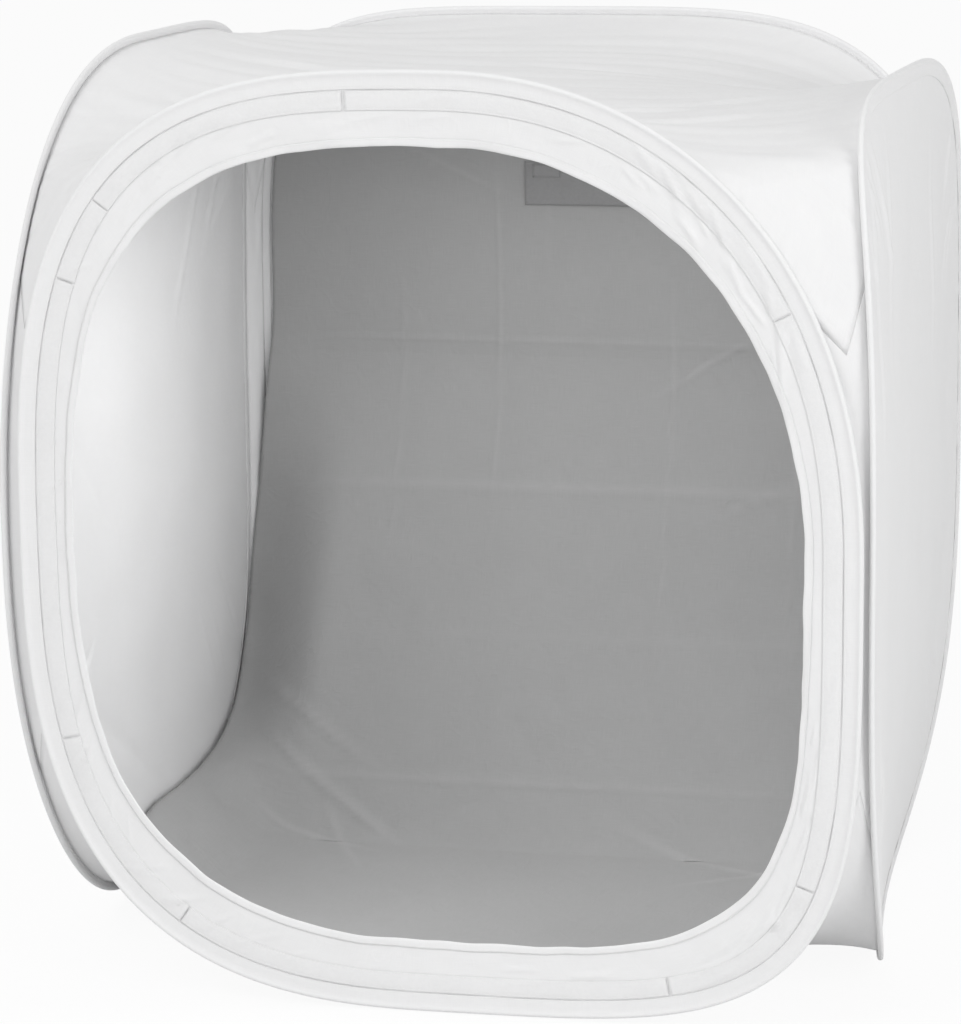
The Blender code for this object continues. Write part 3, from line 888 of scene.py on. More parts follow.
class Wardrobe:
    """The finishes, built once and handed out by slot."""

    def __init__(self) -> None:
        """Build every finish."""
        effects = Effects()
        nylon = ClothFinish(
            name="white_nylon",
            colour=(0.87, 0.87, 0.873),
            pitch=0.0006,
            weave=0.30,
            crumple=0.10,
            streak=0.035,
            patchy=0.03,
            roughness=0.72,
            sheen=0.12,
        )
        felt = ClothFinish(
            name="grey_brushed",
            colour=(0.40, 0.40, 0.40),
            pitch=0.0008,
            weave=0.35,
            crumple=0.16,
            streak=0.10,
            patchy=0.09,
            roughness=0.92,
            sheen=0.10,
            # Painted highlight and shade along the folds, with rubbed pile on their ridges.
            folds_shaded_and_worn=0.16,
        )
        pile = TapeFinish(
            name="white_loop_tape",
            colour=(0.845, 0.845, 0.848),
            pitch=0.0011,
            relief=0.35,
            shade=0.06,
            roughness=0.88,
        )
        hooks = TapeFinish(
            name="grey_hook_tape",
            colour=(0.30, 0.30, 0.302),
            pitch=0.0013,
            relief=0.5,
            shade=0.14,
            roughness=0.9,
        )
        self.finishes = {
            Slot.WHITE_CLOTH: nylon.build(effects),
            Slot.GREY_CLOTH: felt.build(effects),
            Slot.WHITE_TAPE: pile.build(effects),
            Slot.GREY_TAPE: hooks.build(effects),
            Slot.SPRING_STEEL: SteelFinish("drawn_steel", (0.55, 0.55, 0.56), 0.34).build(effects),
        }
        self.thread = ThreadFinish("white_thread", (0.86, 0.86, 0.86)).build(effects)

    def dress(self, piece: bpy.types.Object, slot: Slot) -> None:
        """Give a piece the finish of a slot."""
        piece.data.materials.clear()
        piece.data.materials.append(self.finishes[slot])
        LOG.info("%s: %d faces", piece.name, len(piece.data.polygons))

    def fit(self, piece: bpy.types.Object, slot: Slot, node: str, body: str) -> None:
        """Dress a piece that stands for a node, and let it ride a body."""
        self.dress(piece, slot)
        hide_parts(node)
        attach(piece, body)

    def sew(self, name: str, rows: list[tuple[Array, Array]], body: str) -> None:
        """Make rows of stitches in thread, and let them ride a body."""
        stitches = StitchRow().build(name, rows)
        stitches.data.materials.append(self.thread)
        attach(stitches, body)
        LOG.info("%s: %d faces", name, len(stitches.data.polygons))


# The side panels' single folds in x and w, and the top's in world x and y.
PANEL_FOLDS = {
    Side.RIGHT: [
        Fold((-0.36, 0.46), (-0.33, 0.05), 0.0026, 0.0090),
        Fold((-0.22, 0.47), (-0.25, 0.15), 0.0020, 0.0080),
        Fold((0.10, 0.46), (0.16, 0.10), 0.0018, 0.0100),
        Fold((-0.38, -0.10), (-0.30, -0.46), -0.0022, 0.0090),
    ],
    Side.BACK: [
        Fold((-0.40, 0.30), (0.10, 0.05), 0.0020, 0.0120),
        Fold((0.38, -0.36), (-0.05, -0.10), 0.0020, 0.0120),
    ],
    Side.LEFT: [
        Fold((0.38, 0.20), (0.10, -0.10), 0.0018, 0.0120),
        Fold((0.30, -0.20), (-0.05, -0.42), 0.0020, 0.0120),
        Fold((-0.30, 0.44), (-0.10, 0.10), -0.0018, 0.0120),
    ],
}
TOP_FOLDS = [
    Fold((0.02, -0.34), (0.43, -0.16), 0.0034, 0.0090),
    Fold((-0.05, -0.26), (0.43, -0.08), -0.0030, 0.0100),
    Fold((0.05, -0.16), (0.44, 0.00), 0.0036, 0.0100),
    Fold((-0.10, -0.06), (0.44, 0.09), 0.0026, 0.0090),
    Fold((-0.15, 0.20), (0.42, 0.22), -0.0026, 0.0110),
    Fold((-0.40, -0.22), (-0.16, -0.34), 0.0036, 0.0090),
    Fold((-0.42, -0.12), (-0.20, -0.26), -0.0026, 0.0090),
    Fold((-0.42, 0.10), (0.00, 0.02), 0.0022, 0.0110),
]
# The backdrop's storage folds, in world x and length from its upper edge.
STORAGE_FOLDS = [
    Fold((-0.125, -0.10), (-0.122, 0.62), 0.0024, 0.0030),
    Fold((-0.25, 0.16), (-0.252, 0.60), 0.0016, 0.0028),
    Fold((-0.06, 0.0), (-0.062, 0.22), 0.0012, 0.0028),
    Fold((0.10, 0.10), (0.102, 0.75), 0.0018, 0.0030),
    Fold((0.26, 0.05), (0.262, 0.80), 0.0016, 0.0030),
    Fold((-0.48, 0.280), (0.48, 0.283), 0.0020, 0.0030),
    Fold((-0.48, 0.470), (0.48, 0.468), 0.0022, 0.0034),
    Fold((-0.48, 0.660), (0.48, 0.662), 0.0020, 0.0040),
    Fold((-0.48, 0.860), (0.48, 0.858), 0.0024, 0.0040),
    Fold((-0.27, 0.02), (-0.10, 0.10), 0.0018, 0.0050),
    Fold((0.06, 0.36), (0.22, 0.26), 0.0016, 0.0050),
    Fold((0.12, 0.52), (0.34, 0.42), 0.0016, 0.0050),
    Fold((-0.44, 0.70), (-0.22, 0.86), 0.0030, 0.0070),
    Fold((-0.42, 0.78), (-0.16, 0.98), 0.0034, 0.0080),
    Fold((-0.40, 0.92), (-0.18, 1.00), 0.0030, 0.0065),
    Fold((-0.30, 0.88), (-0.20, 1.08), 0.0026, 0.0065),
    Fold((0.05, 0.90), (0.35, 1.05), 0.0026, 0.0080),
    Fold((0.15, 1.08), (0.38, 0.94), 0.0024, 0.0070),
]


@dataclass
class EdgeSleeve:
    """The folded sleeve round a loop, the wire in it and its stitching.

    Attributes:
        loop: The loop it runs round.
        columns: Points round the loop.
        pocket: Radius of the cloth round the wire.
        pucker: Height of the gathers at the stitch line.
        pucker_start: Inset at which the gathers begin.
        pucker_rise: How much further in they are at their full height.
        sink: How far a furrow may go into the fold.
        stitch_inset: Distance of the stitch line from the loop's outline.
        seed: Seed of the gathers.
    """

    loop: Loop
    columns: int = 672
    pocket: float = 0.0029
    pucker: float = 0.0005
    pucker_start: float = 0.006
    pucker_rise: float = 0.010
    sink: float = 0.0002
    stitch_inset: float = 0.0180
    seed: int = 11

    def section(self) -> Array:
        """Return the sleeve's mid line as rows of inset and o, from inner tail to outer tail."""
        turns = np.radians(np.linspace(180.0, 52.0, 9))
        nose = self.pocket * np.stack([np.cos(turns), np.sin(turns)], axis=-1) + (TENT.wire_inset, 0.0)
        tail = np.array(
            [
                (0.0068, 0.00165),
                (0.0086, 0.00120),
                (0.0108, 0.00098),
                (0.0132, 0.00092),
                (0.0156, 0.00092),
                (0.0174, 0.00086),
                (0.0182, 0.00070),
                (0.0190, 0.00084),
                (0.0200, 0.00090),
            ]
        )
        outer = np.concatenate([nose, tail])
        return np.concatenate([outer[:0:-1] * (1.0, -1.0), outer])

    def relief(self, step: Array, inset: Array | float, outward: Array | float) -> Array:
        """Return the gathers' height, square to the cloth, for each face of the fold."""
        turn = self.loop.arc_length(step) / self.loop.around
        noise = SoftNoise(self.seed)
        fine = noise.ring(turn, 300, outward * 3.3)
        broad = noise.ring(turn, 64, outward * 5.1, 7.3)
        near = smooth((inset - self.pucker_start) / self.pucker_rise)
        return np.maximum(self.pucker * near * (0.55 * fine + 0.7 * broad), -self.sink)

    def face(self, step: Array, inset: float, outward: float) -> tuple[Array, Array]:
        """Return points on one outer face of the fold, with their outward directions.

        Args:
            step: Steps round the loop.
            inset: Distance from the outline.
            outward: 1 for the face outside the tent, -1 for the one inside.

        Returns:
            The points and the directions.
        """
        section = self.section()
        outer = section[len(section) // 2 :]
        rise = np.interp(inset, outer[:, 0], outer[:, 1]) + TENT.cloth / 2
        flat = self.loop.edge(step, inset)
        here = self.loop.place(flat, outward * (rise + self.relief(step, inset, outward)))
        beyond = self.loop.place(flat, outward * (rise + AWAY))
        return here, beyond - here

    def make(self, wardrobe: Wardrobe) -> None:
        """Make the sleeve, its wire and its stitches."""
        side = self.loop.side.body
        step = TENT.steps(self.columns)
        ring = np.append(step, TENT.loop_steps)
        section = self.section()
        grid_step, grid_inset = np.meshgrid(step, section[:, 0])
        sign = np.where(np.arange(len(section)) < len(section) // 2, -1.0, 1.0)[:, None]
        out = section[:, 1:] + sign * self.relief(grid_step, grid_inset, sign)
        points = self.loop.place(self.loop.edge(grid_step, grid_inset), out)
        arc = self.loop.arc_length(ring)
        along = run_of(section)
        sleeve = ClothGrid(points, np.stack(np.meshgrid(arc, along), axis=-1), closed=True)
        cloth = sleeve.build(f"{side}_sleeve_cloth", TENT.cloth)
        wardrobe.fit(cloth, Slot.WHITE_CLOTH, f"{side}_edge_sleeve", side)
        self.make_wire(step, wardrobe)
        rows = [self.face(ring, self.stitch_inset, outward) for outward in (1.0, -1.0)]
        wardrobe.sew(f"{side}_sleeve_stitches", rows, side)

    def make_wire(self, step: Array, wardrobe: Wardrobe) -> None:
        """Make the round spring wire in the sleeve."""
        side = self.loop.side.body
        turns = TURN * np.arange(9) / 8
        grid_step, grid_turn = np.meshgrid(step, turns[:-1])
        inset = TENT.wire_inset + TENT.wire_radius * np.cos(grid_turn)
        points = self.loop.place(self.loop.edge(grid_step, inset), TENT.wire_radius * np.sin(grid_turn))
        points = np.concatenate([points, points[:1]])
        arc = self.loop.arc_length(np.append(step, TENT.loop_steps))
        mapped = np.stack(np.meshgrid(arc, turns * TENT.wire_radius), axis=-1)
        wire = ClothGrid(points, mapped, closed=True).build(f"{side}_spring_wire")
        with edited(wire.data) as weld:
            bmesh.ops.remove_doubles(weld, verts=weld.verts, dist=1e-6)
            bmesh.ops.recalc_face_normals(weld, faces=weld.faces)
        wardrobe.fit(wire, Slot.SPRING_STEEL, f"{side}_loop_wire", side)


def corner_pulls(loop: Loop, seed: int, count: int, height: float) -> list[Fold]:
    """Return the folds that fan out from a loop's corners, in x and w.

    Args:
        loop: The loop.
        seed: Seed of the folds.
        count: Folds at each corner.
        height: Greatest height.

    Returns:
        The folds.
    """
    rng = np.random.default_rng(seed)
    folds = []
    for quarter in range(4):
        for _ in range(count):
            step = TENT.loop_steps * (quarter + 0.5) / 4 + rng.uniform(-1.6, 1.6)
            x, w = loop.edge(np.array([step]), 0.014)[0]
            swing = rng.uniform(-0.25, 0.25)
            reach = rng.uniform(0.18, 0.50)
            end_x = x - reach * (x * math.cos(swing) - w * math.sin(swing))
            end_w = w - reach * (x * math.sin(swing) + w * math.cos(swing))
            tall = height * rng.uniform(0.35, 1.0) * rng.choice([-1.0, 1.0])
            folds.append(Fold((x, w), (end_x, end_w), tall, rng.uniform(0.005, 0.011)))
    return folds


@dataclass
class SidePanel:
    """The cloth inside a closed loop.

    Attributes:
        loop: The loop that holds it.
        folds: Folds in x and w.
        billow: Height of its broad unevenness.
        waves: Layers of that unevenness.
        gather: Height of the gathers along its sleeve.
        billow_start: Share of the way to the centre over which the unevenness rises.
        gather_start: The same for the gathers.
        gather_reach: Share of the way over which the gathers die away.
        fold_start: Share of the way over which the folds rise.
        columns: Points round the loop.
        rings: Rings between the sleeve and the centre.
        crowding: How far the rings crowd towards the sleeve, 1 for evenly spaced.
        seed: Seed of the unevenness.
    """

    loop: Loop
    folds: list[Fold]
    billow: float = 0.004
    waves: tuple[tuple[float, ...], ...] = ((1.0, 0.24, 0.30, 0.0, 0.0), (0.45, 0.11, 0.13, 9.0, 4.0))
    gather: float = 0.0010
    billow_start: float = 0.25
    gather_start: float = 0.01
    gather_reach: float = 0.09
    fold_start: float = 0.05
    columns: int = 480
    rings: int = 56
    crowding: float = 1.15
    seed: int = 21

    def make(self, wardrobe: Wardrobe) -> None:
        """Make the panel."""
        side = self.loop.side.body
        step = TENT.steps(self.columns)
        tucked = self.loop.edge(step, TENT.panel_tuck)
        mouth = self.loop.edge(step, TENT.sleeve_width)
        shares = 1.0 - np.linspace(0.0, 1.0, self.rings) ** self.crowding
        flat = np.stack([tucked, (tucked + mouth) / 2] + [mouth * share for share in shares])
        depth = np.concatenate([[0.0, 0.0], 1.0 - shares])[:, None] + np.zeros(flat.shape[:2])
        height = self.relief(step, flat, depth)
        if self.loop.side is Side.BACK:
            height = np.abs(height)
        points = self.loop.place(flat, height)
        grid = ClothGrid(points, np.concatenate([flat, flat[:, :1]], axis=1), closed=True, pole=True)
        panel = grid.build(f"{side}_panel_cloth", TENT.cloth)
        wardrobe.fit(panel, Slot.WHITE_CLOTH, f"{side}_panel", side)

    def relief(self, step: Array, flat: Array, depth: Array) -> Array:
        """Return the panel's height out of its loop's warped plane.

        Args:
            step: Steps round the loop.
            flat: The grid's points as x and w.
            depth: 0 at the sleeve, rising to 1 at the centre.

        Returns:
            The heights.
        """
        x = flat[..., 0]
        w = flat[..., 1]
        noise = SoftNoise(self.seed)
        broad = noise.layered(x, w, self.waves)
        turn = self.loop.arc_length(step) / self.loop.around
        gathers = noise.ring(turn[None], 150, depth * 8.0)
        free = smooth(depth / self.billow_start)
        held = smooth(depth / self.gather_start) * np.exp(-depth / self.gather_reach)
        height = self.billow * free * broad + self.gather * held * gathers
        return height + smooth(depth / self.fold_start) * folded(self.folds, x, w)


@dataclass
class FrontRing:
    """The open front: its band, its bound hem, the cover's fastening tapes and their stitching.

    Attributes:
        loop: The front loop.
        tape_inset: Outline to the tape's outer edge.
        tape_width: Width of the tape.
        tape_thickness: Thickness of the tape over its pile.
        tape_lift: Gap between the tape and the band.
        tape_joint_gap: Gap between two lengths of tape.
        selvage: Distance of a stitch row from the tape's edge.
        selvage_drop: How far the tape's surface lies lower there.
        side_width: Width of the band at the sides.
        end_width: Width of the band at the top and the bottom.
        opening_share: Scale of the opening's squareness.
        hem_width: Width of the binding.
        hem_stitch: Distance of the hem's stitches from the binding's edge.
        rim_cover: How far the band stays behind the binding's fold.
        relief_start: Inset at which the band's unevenness and folds begin.
        relief_rise: How much further in they are at their full height.
        swell: Height of the band's slow unevenness.
        ripple: Height of its short unevenness.
        flutter: Height of the waves at the opening.
        rim_waves: How far the opening's edge wanders, in short and in long waves.
        columns: Points round the ring.
        tape_joints: Steps at which one length of tape meets the next.
        tack_steps: Steps of the short bars of thread across the inner band.
        creases: Single folds that show most, each as step and inset of its start, step and inset
            of its end, height and half width.
        zones: Where folds are drawn at random, each as first and last step, count, slant and height.
        seed: Seed of the unevenness.
    """

    loop: Loop
    tape_inset: float = 0.0215
    tape_width: float = 0.020
    tape_thickness: float = 0.0010
    tape_lift: float = 0.0004
    tape_joint_gap: float = 0.002
    selvage: float = 0.0016
    selvage_drop: float = 0.00035
    side_width: float = 0.061
    end_width: float = 0.078
    opening_share: float = 0.97
    hem_width: float = 0.009
    hem_stitch: float = 0.0018
    rim_cover: float = 0.0022
    relief_start: float = 0.012
    relief_rise: float = 0.020
    swell: float = 0.0009
    ripple: float = 0.0004
    flutter: float = 0.0022
    rim_waves: tuple[float, float] = (0.0012, 0.0011)
    columns: int = 960
    tape_joints: tuple[int, ...] = (4, 13, 18, 20, 27, 32, 39, 43)
    tack_steps: tuple[float, ...] = (22.80, 23.15, 23.75, 24.15)
    creases: tuple[tuple[float, ...], ...] = (
        (9.20, 0.020, 8.35, 0.040, 0.0020, 0.0035),
        (8.65, 0.022, 7.70, 0.045, 0.0020, 0.0035),
        (7.55, 0.022, 5.90, 0.045, 0.0024, 0.0040),
        (5.35, 0.058, 3.90, 0.050, 0.0018, 0.0035),
        (15.9, 0.040, 14.7, 0.022, 0.0022, 0.0040),
        (15.9, 0.050, 15.0, 0.030, 0.0018, 0.0035),
        (14.6, 0.068, 14.0, 0.058, 0.0016, 0.0040),
        (27.9, 0.012, 27.2, 0.060, 0.0018, 0.0040),
        (27.6, 0.012, 27.0, 0.055, 0.0016, 0.0035),
        (32.3, 0.014, 32.9, 0.070, 0.0016, 0.0045),
        (40.1, 0.040, 42.4, 0.056, 0.0024, 0.0040),
        (41.2, 0.050, 43.4, 0.020, 0.0024, 0.0040),
        (43.2, 0.036, 44.1, 0.012, 0.0016, 0.0030),
    )
    zones: tuple[tuple[float, ...], ...] = (
        (3.0, 9.5, 26, -0.24, 0.0015),
        (14.0, 19.0, 14, 0.20, 0.0013),
        (19.0, 30.0, 24, -0.90, 0.0011),
        (30.0, 35.5, 12, 0.80, 0.0010),
        (37.0, 42.5, 22, 0.10, 0.0016),
        (42.5, 46.5, 16, -0.25, 0.0015),
        (9.5, 14.0, 12, 0.25, 0.0010),
    )
    seed: int = 31

    def __post_init__(self) -> None:
        """Draw the folds of the inner band and of the taped part."""
        self.around = self.loop.around
        self.tape_end = self.tape_inset + self.tape_width
        self.noise = SoftNoise(self.seed)
        self.folds = self.draw_folds()

    def draw_folds(self) -> list[Fold]:
        """Return oblique folds, most of them at the corners, in arc length and inset."""
        rng = np.random.default_rng(self.seed)
        folds = []
        for start, low, end, high, height, width in self.creases:
            first, last = self.loop.arc_length(np.array([start, end]))
            folds.append(Fold((first, low), (last, high), height, width))
        for low, high, count, slant, height in self.zones:
            for _ in range(count):
                centre = self.loop.arc_length(rng.uniform(low, high))
                inset = rng.uniform(0.022, 0.060)
                reach = rng.uniform(0.012, 0.038)
                drift = reach * slant * rng.uniform(0.6, 1.3)
                tall = height * rng.uniform(0.4, 1.1)
                width = rng.uniform(0.0022, 0.0052)
                start = (centre - reach, inset - drift)
                folds.append(Fold(start, (centre + reach, inset + drift), tall, width))
        return folds

    def opening(self, step: Array) -> Array:
        """Return points of the opening's edge."""
        side = TENT.half_width - self.side_width
        end = self.loop.half_height - self.end_width
        return self.loop.outline(step, side, end, self.opening_share)

    def wander(self, step: Array) -> Array:
        """Return how far the opening's edge wanders outward."""
        turn = self.loop.arc_length(step) / self.around
        short, long = self.rim_waves
        return short * self.noise.ring(turn, 70, 3.7) + long * self.noise.ring(turn, 28, 8.2)

    def relief(self, step: Array, inset: Array, share: Array) -> Array:
        """Return the ring's height out of its plane.

        Args:
            step: Steps round the loop.
            inset: Distance from the outline, along the band.
            share: 0 up to the tape's inner edge, rising to 1 at the opening.

        Returns:
            The heights.
        """
        arc = self.loop.arc_length(step)
        turn = arc / self.around
        slow = self.noise.ring(turn, 22, inset / 0.10)
        short = self.noise.ring(turn, 95, inset / 0.030 + 5.0)
        wave = self.noise.ring(turn, 46, share * 1.3 + 2.0)
        start = smooth((inset - self.relief_start) / self.relief_rise)
        height = start * (self.swell * slow + self.ripple * short)
        height = height + share**1.5 * (self.flutter * wave)
        wrapped = np.where(arc > self.around, arc - self.around, arc)
        return height + start * folded(self.folds, wrapped, inset)

    def band_width(self, step: Array) -> Array:
        """Return the distance from the tape's inner edge to the opening."""
        return np.linalg.norm(self.loop.edge(step, self.tape_end) - self.opening(step), axis=-1)

    def surface(self, step: Array, inset: Array | float, lift: Array | float) -> Array:
        """Return world points lifted off the ring's surface, by distance from the outline."""
        share = np.clip((inset - self.tape_end) / self.band_width(step), 0.0, 1.2)
        outer = self.loop.edge(step, np.minimum(inset, self.tape_end))
        rim = self.opening(step)
        rim = rim + unit(rim) * self.wander(step)[..., None]
        flat = outer + (rim - outer) * share[..., None]
        return self.loop.place(flat, self.relief(step, inset, share) + lift)

    def grid(self, insets: Array, step: Array, closed: bool, lift: Array | float = 0.0) -> ClothGrid:
        """Return a grid over the ring.

        Args:
            insets: Distance of each point from the outline, row by row.
            step: Steps of the columns.
            closed: True if the last column joins the first.
            lift: How far the points lie off the ring's surface.

        Returns:
            The grid.
        """
        points = self.surface(np.broadcast_to(step, insets.shape), insets, lift)
        ahead = np.append(step, step[-1] * 2 - step[-2]) if closed else step
        arc = self.loop.arc_length(ahead)
        return ClothGrid(points, np.stack(np.meshgrid(arc, insets.mean(axis=1)), axis=-1), closed)

    def row(self, step: Array, inset: Array | float, lift: float) -> tuple[Array, Array]:
        """Return a line of stitches over the band, or under it where the lift is negative."""
        here = self.surface(step, inset, lift)
        beyond = self.surface(step, inset, lift + math.copysign(AWAY, lift))
        return here, beyond - here

    def make(self, wardrobe: Wardrobe) -> None:
        """Make the band, the hem, the tapes and the stitches."""
        step = TENT.steps(self.columns)
        width = self.band_width(step)
        outer = np.linspace(TENT.panel_tuck, self.tape_end, 14)[:, None] + np.zeros(len(step))
        inner = self.tape_end + np.linspace(0.0, 1.0, 17)[1:, None] * (width - self.rim_cover)
        insets = np.concatenate([outer, inner])
        band = self.grid(insets, step, closed=True)
        cloth = band.build("front_band_cloth", TENT.cloth)
        wardrobe.fit(cloth, Slot.WHITE_CLOTH, "front_band", "front")
        strip = float(insets[-1].mean() - TENT.panel_tuck)
        band.area() / strip
        self.make_hem(step, width, wardrobe)
        self.make_tapes(wardrobe)
        self.make_stitches(step, wardrobe)

    def hem_section(self) -> Array:
        """Return the binding's mid line as rows of outward distance and lift."""
        high = TENT.tail_middle + 0.0001
        upper = np.array(
            [
                (0.0005, 0.0007),
                (0.0016, high),
                (0.0036, high + 0.0003),
                (0.0064, high + 0.0002),
                (self.hem_width, high),
            ]
        )
        lower = upper[::-1] * (1.0, -1.0)
        return np.concatenate([lower, [(0.0001, 0.0)], upper])

    def make_hem(self, step: Array, width: Array, wardrobe: Wardrobe) -> None:
        """Make the folded binding of the opening."""
        section = self.hem_section()
        insets = self.tape_end + width[None] - section[:, :1]
        hem = self.grid(insets, step, closed=True, lift=section[:, 1:])
        binding = hem.build("opening_binding", TENT.cloth)
        wardrobe.fit(binding, Slot.WHITE_CLOTH, "opening_hem", "front")
        across = float(run_of(section)[-1])
        hem.area() / across

    def make_tapes(self, wardrobe: Wardrobe) -> None:
        """Make the lengths of fastening tape."""
        joints = [*self.tape_joints, self.tape_joints[0] + TENT.loop_steps]
        trim = self.tape_joint_gap / 2 / (self.around / TENT.loop_steps)
        profile = self.tape_section()
        for number, (start, end) in enumerate(zip(joints, joints[1:]), start=1):
            count = max(12, round((end - start) * self.columns / TENT.loop_steps))
            step = np.linspace(start + trim, end - trim, count)
            insets = self.tape_inset + profile[:, :1] + np.zeros(count)
            grid = self.grid(insets, step, closed=False, lift=profile[:, 1:])
            tape = grid.build(f"cover_tape_length_{number}")
            self.close_tape(tape, len(profile), count)
            wardrobe.fit(tape, Slot.WHITE_TAPE, f"cover_tape_{number}", "front")
            first, last = self.loop.arc_length(step[[0, -1]])

    def tape_section(self) -> Array:
        """Return the tape's outline as rows of distance across and lift, with a furrow at each row."""
        base = TENT.cloth / 2 + self.tape_lift
        high = base + self.tape_thickness
        near = np.array(
            [
                (0.0, base),
                (0.0, high - 0.0004),
                (0.0007, high - 0.0001),
                (self.selvage, high - self.selvage_drop),
                (0.0028, high),
                (0.0064, high + 0.0001),
            ]
        )
        far = near[::-1] * (-1.0, 1.0) + (self.tape_width, 0.0)
        return np.concatenate([near, [(self.tape_width / 2, high + 0.00012)], far])

    @staticmethod
    def close_tape(tape: bpy.types.Object, rows: int, count: int) -> None:
        """Close a tape's back and ends."""
        last = (rows - 1) * count
        with edited(tape.data) as mesh:
            for i in range(count - 1):
                mesh.faces.new([mesh.verts[k] for k in (i, last + i, last + i + 1, i + 1)])
            for column in (0, count - 1):
                mesh.faces.new([mesh.verts[row * count + column] for row in range(rows)])
            bmesh.ops.recalc_face_normals(mesh, faces=mesh.faces)
            for face in mesh.faces:
                face.smooth = len(face.verts) == 4

    def make_stitches(self, step: Array, wardrobe: Wardrobe) -> None:
        """Make the stitch rows of the tape and of the hem."""
        ring = np.append(step, TENT.loop_steps)
        hem = self.tape_end + self.band_width(ring) - self.hem_width + self.hem_stitch
        high = TENT.cloth / 2 + self.tape_lift + self.tape_thickness - self.selvage_drop
        over = TENT.tail_face + 0.0004
        rows = [
            self.row(ring, self.tape_inset + self.selvage, high),
            self.row(ring, self.tape_end - self.selvage, high),
            self.row(ring, hem, over),
            self.row(ring, hem, -over),
        ]
        across = self.tape_end + np.linspace(0.001, 0.017, 6)
        for start in self.tack_steps:
            for shift in (-0.012, 0.0, 0.012):
                bar = np.full(across.shape, start + shift)
                rows.append(self.row(bar, across, TENT.cloth / 2))
        wardrobe.sew("front_ring_stitches", rows, "front")


